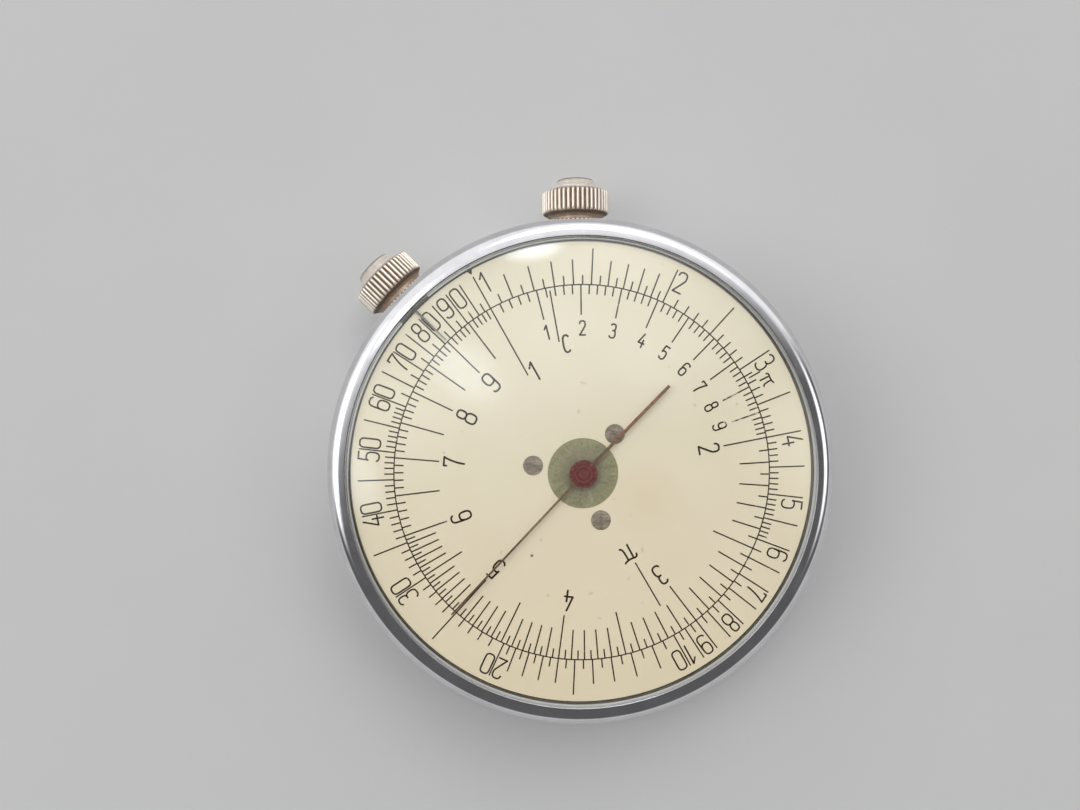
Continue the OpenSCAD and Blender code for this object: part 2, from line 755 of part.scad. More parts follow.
// Hand with a tapering long end, a wider tail and a round hub
module hand(z) {
    clockwise(hand_angle) translate([0, 0, z]) difference() {
        union() {
            linear_extrude(hand_t)
                polygon([
                    [-hand_tail_w / 2, -hand_tail],
                    [hand_tail_w / 2, -hand_tail],
                    [hand_w / 2, 0],
                    [hand_tip_w / 2, hand_len - hand_tip_w],
                    [0, hand_len],
                    [-hand_tip_w / 2, hand_len - hand_tip_w],
                    [-hand_w / 2, 0]
                ]);
            cylinder(r = hand_hub_r, h = hand_t);
        }
        translate([0, 0, -cut]) cylinder(r = collet_r + seat_gap, h = hand_t + 2 * cut);
    }
}

module front_hand() {
    color("brown") hand(front_hand_z);
}

module rear_hand() {
    color("brown") hand(rear_hand_z);
}

// Collet that holds the front hand on the arbor
module front_hand_collet() {
    color("firebrick") ring(collet_r, arbor_end_r + seat_gap, front_shoulder_z, front_hand_z + hand_t);
}

// Collet that holds the rear hand on the arbor
module rear_hand_collet() {
    color("firebrick") ring(collet_r, arbor_end_r + seat_gap, rear_hand_z, rear_shoulder_z);
}

// Outline of the knurling: narrow ridges with a flat-bottomed groove between each pair
module knurl_outline() {
    step = 360 / knurl_count;
    polygon([
        for (i = [0 : knurl_count - 1], p = [[-0.15, 0], [0.15, 0], [0.3, 1], [0.7, 1]])
            polar(knob_r - p[1] * knurl_d, (i + p[0]) * step)
    ]);
}

// Knurled knob with a smooth neck, its ridges bevelled at both ends, bored for its stem, tube and cap
module knob(a) {
    bevel_d = knurl_d + knurl_bevel_cut;
    bevel_reach = knurl_bevel_len * (bevel_d + pass_gap) / bevel_d;
    color("darkgray") along_stem(a) difference() {
        intersection() {
            translate([0, 0, neck_start]) linear_extrude(knurl_end - neck_start) knurl_outline();
            turned([
                [0, neck_start],
                [knob_neck_r, neck_start],
                [knob_neck_r, cone_start],
                [knob_r - bevel_d, knurl_start],
                [knob_r + pass_gap, knurl_start + bevel_reach],
                [knob_r + pass_gap, knurl_end - bevel_reach],
                [knob_r - bevel_d, knurl_end],
                [0, knurl_end]
            ]);
        }
        translate([0, 0, neck_start - cut])
            cylinder(r = stem_tube_r + run_gap, h = stem_tube_reach + pass_gap + cut);
        translate([0, 0, neck_start]) cylinder(r = stem_r + seat_gap, h = knurl_end - neck_start);
        translate([0, 0, knurl_end - cap_spigot_len - seat_gap])
            cylinder(r = cap_spigot_r + seat_gap, h = cap_spigot_len + cut);
    }
}

module dial_knob() {
    knob(knob_angle);
}

module hands_knob() {
    knob(0);
}

// Smooth conical end cap with a spigot in the knob and a recess for its dot
module knob_cap(a) {
    color("silver") along_stem(a) difference() {
        union() {
            translate([0, 0, knurl_end]) cylinder(r1 = cap_r, r2 = cap_face_r, h = cap_h);
            translate([0, 0, knurl_end - cap_spigot_len])
                cylinder(r = cap_spigot_r, h = cap_spigot_len + seat_gap);
        }
        translate([0, 0, cap_end - dot_t]) cylinder(r = dot_r + seat_gap, h = dot_t + cut);
    }
}

module dial_knob_cap() {
    knob_cap(knob_angle);
}

module hands_knob_cap() {
    knob_cap(0);
}

// Enamel dot that tells the knobs apart
module knob_dot(a) {
    along_stem(a) translate([0, 0, cap_end - dot_t]) cylinder(r = dot_r, h = dot_t);
}

module dial_knob_dot() {
    color("black") knob_dot(knob_angle);
}

module hands_knob_dot() {
    color("red") knob_dot(0);
}

// Stem from its pivot in the main plate to the knob
module stem(a, pitch_r) {
    start = pitch_r - ring_half_w - pivot_len + pass_gap;
    color("lightsteelblue") along_stem(a)
        translate([0, 0, start]) cylinder(r = stem_r, h = stem_end - start);
}

module dial_stem() {
    stem(knob_angle, dial_pitch_r);
}

module hands_stem() {
    stem(0, hands_pitch_r);
}

// Involute pinion on a stem, with a tooth towards its wheel
module pinion(a, pitch_r, side) {
    color("goldenrod") along_stem(a) translate([0, 0, pitch_r - pinion_w / 2]) difference() {
        linear_extrude(pinion_w)
            polygon([
                for (i = [0 : pinion_teeth - 1]) each pinion_tooth(-side * 90 + i * 360 / pinion_teeth)
            ]);
        translate([0, 0, -cut]) cylinder(r = stem_r + seat_gap, h = pinion_w + 2 * cut);
    }
}

module dial_pinion() {
    pinion(knob_angle, dial_pitch_r, 1);
}

module hands_pinion() {
    pinion(0, hands_pitch_r, -1);
}

case_ring();
front_bezel();
rear_bezel();
front_glass();
rear_glass();
fixed_index();
main_plate();
plate_screws();
center_tube();
retaining_collar();
rear_dial();
rear_dial_pillars();
rear_dial_screws();
dial_stem_tube();
hands_stem_tube();
dial_friction_washer();
hands_friction_washer();
front_dial();
front_dial_screws();
dial_wheel();
center_arbor();
hands_wheel();
front_hand();
front_hand_collet();
rear_hand();
rear_hand_collet();
dial_knob();
dial_knob_cap();
dial_knob_dot();
dial_stem();
dial_pinion();
hands_knob();
hands_knob_cap();
hands_knob_dot();
hands_stem();
hands_pinion();
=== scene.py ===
"""Looks of a pocket circular slide rule: polished case, glasses, printed dials, worn hand and knurled knobs.

The script works in millimetres and scales each mesh to metres as it is made.
Angles on the dials are in degrees, clockwise from the hands knob seen from the front.
"""
import math
from collections import namedtuple

import bmesh
import bpy
from mathutils import Matrix, Vector

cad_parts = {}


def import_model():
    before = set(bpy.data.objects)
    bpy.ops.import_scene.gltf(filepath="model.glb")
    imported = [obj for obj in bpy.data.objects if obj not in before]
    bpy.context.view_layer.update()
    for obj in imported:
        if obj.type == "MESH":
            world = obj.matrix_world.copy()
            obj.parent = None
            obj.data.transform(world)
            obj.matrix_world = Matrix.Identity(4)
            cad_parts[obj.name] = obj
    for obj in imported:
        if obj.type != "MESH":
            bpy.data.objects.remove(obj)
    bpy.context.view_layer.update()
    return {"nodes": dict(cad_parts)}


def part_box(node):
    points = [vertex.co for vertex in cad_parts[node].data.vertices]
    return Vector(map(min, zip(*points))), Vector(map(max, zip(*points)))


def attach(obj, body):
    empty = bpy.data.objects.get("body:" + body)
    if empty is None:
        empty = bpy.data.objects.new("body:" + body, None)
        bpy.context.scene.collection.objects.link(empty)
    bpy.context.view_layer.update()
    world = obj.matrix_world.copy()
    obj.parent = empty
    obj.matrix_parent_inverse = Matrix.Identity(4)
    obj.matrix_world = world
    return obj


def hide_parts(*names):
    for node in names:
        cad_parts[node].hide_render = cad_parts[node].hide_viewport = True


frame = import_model()

MM = 0.001


def corners(node):
    """Lowest and highest corner of a CAD node, in millimetres."""
    low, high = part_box(node)
    return low / MM, high / MM


# Sizes read from the frame
DIAL_LOW, DIAL_HIGH = corners("front_dial")
DIAL_R = DIAL_HIGH.x
DIAL_TOP = DIAL_HIGH.z
REAR_LOW, REAR_HIGH = corners("rear_dial")
BEZEL_LOW, BEZEL_HIGH = corners("front_bezel")
CASE_R = BEZEL_HIGH.x
REAR_RIM = corners("rear_bezel")[0].z
BEZEL_H = BEZEL_HIGH.z - BEZEL_LOW.z
GLASS_LOW, GLASS_HIGH = corners("front_glass")
GLASS_R = GLASS_HIGH.x
REAR_GLASS_LOW, REAR_GLASS_HIGH = corners("rear_glass")
COLLAR_LOW, COLLAR_HIGH = corners("retaining_collar")
COLLET_R = corners("front_hand_collet")[1].x
HAND_LOW, HAND_HIGH = corners("front_hand")
REAR_HAND_LOW, REAR_HAND_HIGH = corners("rear_hand")
HAND_REACH = math.hypot(HAND_LOW.x, HAND_LOW.y)
TAIL_REACH = math.hypot(HAND_HIGH.x, HAND_HIGH.y)
KNOB_LOW, KNOB_HIGH = corners("hands_knob")
KNOB_R = KNOB_HIGH.x
STEM_Z = (KNOB_LOW.z + KNOB_HIGH.z) / 2
CAP_HIGH = corners("hands_knob_cap")[1]
DOT_R = corners("hands_knob_dot")[1].x

# Sizes of the case and the glasses, in millimetres; an edge is the length that its rounding takes
SEAT_GAP = 0.01
LEDGE_GAP = 0.15
LEDGE_R = DIAL_R + LEDGE_GAP
RIM_LIP = 0.2
SEEN_R = GLASS_R - RIM_LIP
BEVEL_H = 0.05
BEVEL_W = 0.07
ROUND_R = 1.4
BEZEL_DRAW = 0.25
SPIGOT_R = 24.01
SPIGOT_H = 1.01
LEDGE_DROP = 0.02
RIM_EDGE = 0.04
BORE_EDGE = 0.03
SKIRT_EDGE = 0.08
GLASS_T = 0.7
GLASS_DOME = 1.3
GLASS_BEVEL = 0.2
GLASS_LIFT = 0.01
GLASS_EDGE = 0.05
REAR_GLASS_EDGE = 0.06

# Sizes of the dials and the hands, in millimetres; angles in degrees
DIAL_HOLE_R = 3.45
REAR_HOLE_R = 1.5
UNIT_ANGLE = -28.6
NOTCH_W = 0.25
NOTCH_D = 0.45
DIAL_EDGE = 0.02
REAR_DIAL_EDGE = 0.04
SCREW_R = 0.97
SLOT_W = 0.28
SLOT_D = 0.16
SLOT_FILL = 0.05
HEAD_EDGE = 0.02
DISC_EDGE = 0.01
DIAL_SCREW_CIRCLE = 4.95
# Screws as (place round the dial, turn of the slot)
DIAL_SCREWS = ((39.7, -45), (159.7, 90), (279.7, -27))
REAR_SCREW_CIRCLE = 16.5
REAR_SCREWS = ((30, 5), (150, -115), (270, -235))
HAND_ANGLE = 223.9
HAND_W = 0.235
HAND_TIP_W = 0.16
TAIL_W = 0.31
TAIL_MORE = 0.22
TAIL_BEND = 1.0
HAND_EDGE = 0.03
HUB_R = 1.36
ARBOR_END_R = 0.55
COLLET_EDGE = 0.04
COLLAR_BORE_R = 1.7
COLLAR_LIP_R = 1.04
COLLAR_GAP = 0.015
COLLAR_FLANGE_GAP = 0.1
COLLAR_EDGE = 0.01
COLLAR_LIP_EDGE = 0.03
INDEX_FOOT_R = LEDGE_R - 0.8
INDEX_TIP_R = 18.9

# Sizes of the knobs, in millimetres; angles in degrees
NECK_R = 2.65
NECK_LEN = 0.7
NECK_CHAMFER = 0.06
CONE_LEN = 0.45
KNURL_COUNT = 44
KNURL_D = 0.25
KNURL_BEVEL_LEN = 0.4
KNURL_BEVEL_CUT = 0.06
BLANK_OVERSIZE = 0.02
STEM_BORE_R = 0.81
TUBE_BORE_R = 1.64
TUBE_BORE_LEN = 0.7
CAP_SPIGOT_R = 1.29
CAP_SPIGOT_LEN = 0.5
CAP_FACE_R = 1.8
CAP_ROUND = 0.22
CAP_ROUND_START = 25
CAP_FOOT_EDGE = (0.02, 0.04)
# Fine grooves round a cap: places as shares of its length, then sizes
GROOVES = (0.2, 0.34, 0.48, 0.62, 0.74)
GROOVE_HALF_W = 0.03
GROOVE_LIP = 0.012
GROOVE_D = 0.022
DOT_DEPTH = 0.3
DOT_CROWN = 0.06
DOT_GAP = 0.005

# Sizes of the printed lines, in millimetres
SCALE_R = 18.4
LINE_W = 0.138
CIRCLE_W = 0.12
PEN_W = 0.166
BOLD_PEN_W = 0.192
SMALL_PEN_W = 0.162
INK_H = 0.006
INK_SINK = 0.02

# Marks in hundredths, as bands of (start, end, step)
OUTER_MARKS = ((100, 200, 5), (200, 600, 10), (600, 1000, 25))
INNER_MARKS = ((102, 200, 2), (200, 600, 5), (600, 1000, 10))

# Lengths of the marks, and ends of the special ones, as shares of SCALE_R
LONG = 0.19
MEDIUM = 0.133
SHORT = 0.05
INNER_WHOLE = 0.235
INNER_TENTH = 0.16
UNIT_MARK_END = 0.598
OUTER_PI_MARK = (1.02, 1.09)
INNER_PI_MARK = (0.826, 0.555)
GAUGE_MARK = (0.984, 0.709)

# Figures: foot and height as shares of SCALE_R, the rest in millimetres
Figure = namedtuple("Figure", "foot height half_w shift pen")
OUTER_FIGURE = Figure(1.08, 0.109, 0.44, 0.76, PEN_W)
OUTER_PI = Figure(1.066, 0.058, 0.43, 1.03, SMALL_PEN_W)
UNIT_FIGURE = Figure(0.55, 0.102, 0.42, 0.73, BOLD_PEN_W)
TENTH_FIGURE = Figure(0.7345, 0.074, 0.28, 0.0, SMALL_PEN_W)
INNER_FIGURE = Figure(0.632, 0.1075, 0.41, 0.0, BOLD_PEN_W)
INNER_PI = Figure(0.449, 0.085, 0.55, 0.15, BOLD_PEN_W)
GAUGE_FIGURE = Figure(0.648, 0.09, 0.33, 0.69, BOLD_PEN_W)

# Sideways shifts of the figures of the tens and the tenths
TEN_SHIFT = -0.64
TEN_SHIFTS = {1: -0.47, 8: -0.84, 9: -0.84}
TEN_ZERO_SHIFT = 0.64
TEN_ZERO_SHIFTS = {1: 0.72, 9: 0.72}
TENTH_SHIFTS = {2: 0.1, 4: 0.12, 5: -0.06}

# Half width and sideways shift of each figure inside the circle
INNER_SIZES = {
    2: (0.41, 0.0), 3: (0.41, 0.09), 4: (0.38, -0.23), 5: (0.41, -0.02),
    6: (0.39, -0.06), 7: (0.44, 0.07), 8: (0.46, 0.06), 9: (0.44, 0.1),
}

# Marks of age on the front dial, in millimetres, and turn of the scratches on its screws
STAIN = (6.3, -2.6, DIAL_TOP)
BLOT = (-5.1, -8.0, DIAL_TOP)
RUBBED = (15.2, 5.6, DIAL_TOP)
SCRATCH_TURN = 48


# Objects and meshes

def add_object(name, data):
    """Object in the scene."""
    obj = bpy.data.objects.new(name, data)
    bpy.context.scene.collection.objects.link(obj)
    return obj


# Edges sharper than these angles stay sharp
SHARP_ANGLE = 30
PLATE_SHARP_ANGLE = 12
BAND_SHARP_ANGLE = 20
KNOB_SHARP_ANGLE = 40
# Steps of a rounded corner
CORNER_STEPS = 5
# Points nearer than these, in metres, become one
PLATE_WELD = 1e-8
BAND_WELD = 1e-7
# Lengths under this one, in millimetres, count as none
TINY = 1e-6


def finish_mesh(name, points, faces, sharp=SHARP_ANGLE):
    """Closed mesh in metres with outward faces, smooth except at edges sharper than an angle."""
    mesh = bpy.data.meshes.new(name)
    mesh.from_pydata([Vector(p) * MM for p in points], [], faces)
    return smooth(mesh, sharp)


def smooth(mesh, sharp=SHARP_ANGLE, weld=0.0):
    """Outward faces, smooth except at sharp edges; points nearer than the weld length become one."""
    bm = bmesh.new()
    bm.from_mesh(mesh)
    if weld:
        bmesh.ops.remove_doubles(bm, verts=bm.verts, dist=weld)
    bmesh.ops.recalc_face_normals(bm, faces=bm.faces)
    bm.to_mesh(mesh)
    bm.free()
    mesh.shade_smooth()
    mesh.set_sharp_from_angle(angle=math.radians(sharp))
    return mesh


def arc(x, y, r, start, end, steps):
    """Points of an arc about (x, y), angles in degrees."""
    angles = [math.radians(start + (end - start) * i / steps) for i in range(steps + 1)]
    return [(x + r * math.cos(a), y + r * math.sin(a)) for a in angles]


def soften(outline):
    """Outline whose points may carry a third number, the length of edge that a rounded corner takes."""
    result = []
    count = len(outline)
    for i, point in enumerate(outline):
        here = Vector(point[:2])
        if len(point) == 2:
            result.append(tuple(here))
            continue
        before = Vector(outline[i - 1][:2])
        after = Vector(outline[(i + 1) % count][:2])
        a = here + (before - here).normalized() * point[2]
        b = here + (after - here).normalized() * point[2]
        for step in range(CORNER_STEPS + 1):
            t = step / CORNER_STEPS
            result.append(tuple(a * (1 - t) ** 2 + here * 2 * t * (1 - t) + b * t ** 2))
    return result


def lathe(name, outline, columns=240):
    """(radius, height) outline turned about Z; it is a loop unless it starts and ends on the axis."""
    points = []
    rows = []
    for r, z in outline:
        if r < TINY:
            rows.append([len(points)] * columns)
            points.append((0, 0, z))
            continue
        rows.append(list(range(len(points), len(points) + columns)))
        for i in range(columns):
            turn = math.tau * i / columns
            points.append((r * math.cos(turn), r * math.sin(turn), z))
    pairs = list(zip(rows, rows[1:]))
    if outline[0][0] > TINY:
        pairs.append((rows[-1], rows[0]))
    faces = []
    for low, high in pairs:
        for i in range(columns):
            j = (i + 1) % columns
            face = list(dict.fromkeys((low[i], low[j], high[j], high[i])))
            if len(face) > 2:
                faces.append(face)
    return finish_mesh(name, points, faces)


def plate(name, loops, z0, z1, edge):
    """Flat piece between two heights, cut to an outline with holes, its edges rounded by a small amount."""
    curve = bpy.data.curves.new(name, "CURVE")
    curve.dimensions = "2D"
    curve.fill_mode = "BOTH"
    curve.extrude = (z1 - z0) / 2 - edge
    curve.bevel_depth = edge
    curve.bevel_resolution = 2
    curve.offset = -edge
    for loop in loops:
        spline = curve.splines.new("POLY")
        spline.points.add(len(loop) - 1)
        for point, (x, y) in zip(spline.points, loop):
            point.co = (x, y, 0, 1)
        spline.use_cyclic_u = True
    shape = add_object(name, curve)
    graph = bpy.context.evaluated_depsgraph_get()
    mesh = bpy.data.meshes.new_from_object(shape.evaluated_get(graph))
    bpy.data.objects.remove(shape)
    mesh.transform(Matrix.Scale(MM, 4) @ Matrix.Translation((0, 0, (z0 + z1) / 2)))
    return smooth(mesh, PLATE_SHARP_ANGLE, PLATE_WELD)


def joined(name, meshes):
    """One mesh of several closed ones."""
    bm = bmesh.new()
    for mesh in meshes:
        bm.from_mesh(mesh)
    result = bpy.data.meshes.new(name)
    bm.to_mesh(result)
    bm.free()
    return smooth(result)


def heading(angle):
    """Direction on a dial, as (x, y)."""
    a = math.radians(angle)
    return math.sin(a), math.cos(a)


def clockwise(angle):
    """Turn about the dial axis."""
    return Matrix.Rotation(math.radians(-angle), 4, "Z")


def along_stem(angle):
    """Frame of a knob: its origin on the dial axis, its Z outwards along the stem."""
    turn = Matrix.Rotation(math.radians(angle), 4, "Z") @ Matrix.Rotation(math.radians(-90), 4, "X")
    return Matrix.Translation((0, 0, STEM_Z * MM)) @ turn


def piece(name, mesh, look, body, node=None, place=None):
    """Object that rides on a CAD body and may stand for a CAD node."""
    mesh.materials.clear()
    mesh.materials.append(look)
    obj = add_object(name, mesh)
    if place:
        obj.matrix_world = place
    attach(obj, body)
    if node:
        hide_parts(node)


# Printed lines

# Power that makes round strokes squarish
BOW_SQUARENESS = 0.74


def square(v):
    return math.copysign(abs(v) ** BOW_SQUARENESS, v)


def bow(x, y, rx, ry, start, end, steps=16):
    """Part of a squarish ellipse, angles in degrees."""
    return [(x + rx * square(px), y + ry * square(py)) for px, py in arc(0, 0, 1, start, end, steps)]


def bend(a, b, c, steps=10):
    """Curve from a to c that leans towards b."""
    points = []
    for i in range(steps + 1):
        t = i / steps
        points.append(tuple((1 - t) ** 2 * p + 2 * t * (1 - t) * q + t * t * r for p, q, r in zip(a, b, c)))
    return points


# Strokes of each sign: x from -1 to 1 across its width, y from 0 to 1 up its height
SIGNS = {
    "0": [bow(0, 0.76, 1, 0.24, 0, 180) + bow(0, 0.24, 1, 0.24, 180, 360) + [(1, 0.76)]],
    "1": [[(-0.7, 0.74), (0.2, 1)], [(0.2, 1), (0.2, 0)]],
    "2": [
        bow(0, 0.75, 0.95, 0.25, 170, -20) + bend((0.8, 0.6), (0.2, 0.38), (-0.95, 0)),
        [(-0.95, 0), (0.95, 0)],
    ],
    "3": [bow(-0.05, 0.765, 0.85, 0.235, 150, -90), bow(-0.05, 0.27, 1, 0.27, 90, -150)],
    "4": [[(0.2, 1), (-1, 0.3)], [(-1, 0.3), (1.1, 0.3)], [(0.5, 0.55), (0.5, 0)]],
    "5": [[(0.85, 1), (-0.7, 1)], [(-0.7, 1), (-0.82, 0.52)], bow(-0.05, 0.31, 1, 0.31, 140, -145)],
    "6": [bow(0, 0.29, 1, 0.29, 0, 360, 24), [(-1, 0.29)] + bow(0, 0.72, 1, 0.28, 180, 35)],
    "7": [[(-0.95, 0.87), (-0.95, 1)], [(-0.95, 1), (0.95, 1)], bend((0.95, 1), (-0.1, 0.55), (-0.25, 0))],
    "8": [bow(0, 0.77, 0.82, 0.23, 0, 360, 24), bow(0, 0.27, 1, 0.27, 0, 360, 24)],
    "9": [bow(0, 0.71, 1, 0.29, 0, 360, 24), [(1, 0.71)] + bow(0, 0.28, 1, 0.28, 0, -145)],
    "C": [bow(0, 0.5, 1, 0.5, 50, 310, 24)],
    "pi": [
        bend((-1.3, 0.78), (-1.2, 1.02), (-0.5, 0.94)) + bend((-0.5, 0.94), (0.6, 0.86), (1.3, 1)),
        [(-0.5, 0.92), (-0.6, 0)],
        bend((0.55, 0.92), (0.4, 0.02), (1, 0.06)),
    ],
}


# Round end of a line, as (distance beyond the end, half width) in shares of the line's half width
ROUND_END = ((0.95, 0.35), (0.62, 0.8))


class Ink:
    """Printed lines of a dial: flat closed ribbons that stand a little proud of it."""

    def __init__(self):
        self.points = []
        self.faces = []

    def ribbon(self, path, width, round_ends=True):
        """Flat line along a path, narrowed at round ends; a path that ends where it starts makes a ring."""
        path = [Vector(p) for p in path]
        closed = (path[0] - path[-1]).length < TINY
        if closed:
            path.pop()
        halves = [width / 2] * len(path)
        if round_ends and not closed:
            start = (path[0] - path[1]).normalized() * width / 2
            end = (path[-1] - path[-2]).normalized() * width / 2
            first_part = [path[0] + start * a for a, _ in ROUND_END]
            last_part = [path[-1] + end * a for a, _ in ROUND_END[::-1]]
            path = first_part + path + last_part
            narrow = [width / 2 * b for _, b in ROUND_END]
            halves = narrow + halves + narrow[::-1]
        count = len(path)
        first = len(self.points)
        for i, (here, half) in enumerate(zip(path, halves)):
            before = path[i - 1] if closed or i else here
            after = path[(i + 1) % count] if closed or i < count - 1 else here
            along = (after - before).normalized()
            side = Vector((-along.y, along.x)) * half
            left = here + side
            right = here - side
            self.points += [(*left, INK_H), (*right, INK_H), (*right, -INK_SINK), (*left, -INK_SINK)]
        for i in range(count if closed else count - 1):
            a = first + 4 * i
            b = first + 4 * ((i + 1) % count)
            self.faces += [[a + k, a + (k + 1) % 4, b + (k + 1) % 4, b + k] for k in range(4)]
        if not closed:
            last = first + 4 * (count - 1)
            self.faces += [[first + k for k in range(4)], [last + k for k in range(4)]]

    def ray(self, angle, start, end):
        """Straight line along a radius, between two shares of SCALE_R."""
        out = Vector(heading(angle))
        self.ribbon([out * (start * SCALE_R), out * (end * SCALE_R)], LINE_W, round_ends=False)

    def sign(self, name, angle, figure):
        """Sign that stands on a radius with its top outwards."""
        out = Vector(heading(angle))
        side = Vector((out.y, -out.x))
        foot = figure.foot * SCALE_R
        height = figure.height * SCALE_R
        for stroke in SIGNS[name]:
            path = [out * (foot + y * height) + side * (figure.shift + x * figure.half_w) for x, y in stroke]
            self.ribbon(path, figure.pen)

    def mesh(self, name, face_z, mirrored=False):
        """Mesh of all lines on a dial's face; mirrored for a face that looks down."""
        flip = -1 if mirrored else 1
        return finish_mesh(name, [(flip * x, y, face_z + flip * z) for x, y, z in self.points], self.faces)


def marks(bands):
    """Values of all marks of a scale."""
    return [value for start, end, step in bands for value in range(start, end, step)]


def two_decade_scale(ink, zero):
    """Scale from 1 to 100 round the circle, with marks and figures outside it."""
    for decade in (0, 1):
        for value in marks(OUTER_MARKS):
            share = SHORT
            if value % 50 == 0:
                share = LONG
            elif value < 200 and value % 10 == 0:
                share = MEDIUM
            ink.ray(zero + 180 * (decade + math.log10(value / 100)), 1, 1 + share)
        for digit in range(1, 10):
            angle = zero + 180 * (decade + math.log10(digit))
            if decade:
                digit_shift = TEN_SHIFTS.get(digit, TEN_SHIFT)
                zero_shift = TEN_ZERO_SHIFTS.get(digit, TEN_ZERO_SHIFT)
                ink.sign(str(digit), angle, OUTER_FIGURE._replace(shift=digit_shift))
                ink.sign("0", angle, OUTER_FIGURE._replace(shift=zero_shift))
            else:
                ink.sign(str(digit), angle, OUTER_FIGURE)
    angle = zero + 180 * math.log10(math.pi)
    ink.ray(angle, *OUTER_PI_MARK)
    ink.sign("pi", angle, OUTER_PI)


def one_decade_scale(ink, zero):
    """Scale from 1 to 10 round the circle, with marks and figures inside it."""
    for value in marks(INNER_MARKS):
        share = SHORT
        if value >= 200 and value % 50 == 0:
            share = INNER_WHOLE
        elif value < 600 and value % 10 == 0:
            share = INNER_TENTH
        ink.ray(zero + 360 * math.log10(value / 100), 1, 1 - share)
    ink.ray(zero, 1, UNIT_MARK_END)
    ink.sign("1", zero, UNIT_FIGURE)
    for tenth in range(1, 10):
        figure = TENTH_FIGURE._replace(shift=TENTH_SHIFTS.get(tenth, 0.0))
        ink.sign(str(tenth), zero + 360 * math.log10(1 + tenth / 10), figure)
    for digit, (half_w, shift) in INNER_SIZES.items():
        figure = INNER_FIGURE._replace(half_w=half_w, shift=shift)
        ink.sign(str(digit), zero + 360 * math.log10(digit), figure)


def printed_scales(zero):
    """Circle with a scale on either side of it."""
    ink = Ink()
    ink.ribbon(arc(0, 0, SCALE_R, 0, 360, 360), CIRCLE_W)
    two_decade_scale(ink, zero)
    one_decade_scale(ink, zero)
    return ink


def special_marks(ink, zero):
    """Detached marks of the inner scale: the gauge mark for cylinders and pi."""
    angle = zero + 360 * math.log10(math.sqrt(4 / math.pi))
    ink.ray(angle, *GAUGE_MARK)
    ink.sign("C", angle, GAUGE_FIGURE)
    angle = zero + 360 * math.log10(math.pi)
    ink.ray(angle, *INNER_PI_MARK)
    ink.sign("pi", angle, INNER_PI)


# Material helpers

def put(tree, value, target):
    """Links an output to an input, or sets a plain value."""
    if isinstance(value, bpy.types.NodeSocket):
        tree.links.new(value, target)
    else:
        target.default_value = value


def map_range(tree, value, limits, results, interpolation="LINEAR"):
    """Change between two results as a value passes from one limit to the other."""
    node = tree.nodes.new("ShaderNodeMapRange")
    node.interpolation_type = interpolation
    tree.links.new(value, node.inputs["Value"])
    for key, number in zip(("From Min", "From Max", "To Min", "To Max"), (*limits, *results)):
        put(tree, number, node.inputs[key])
    return node.outputs[0]


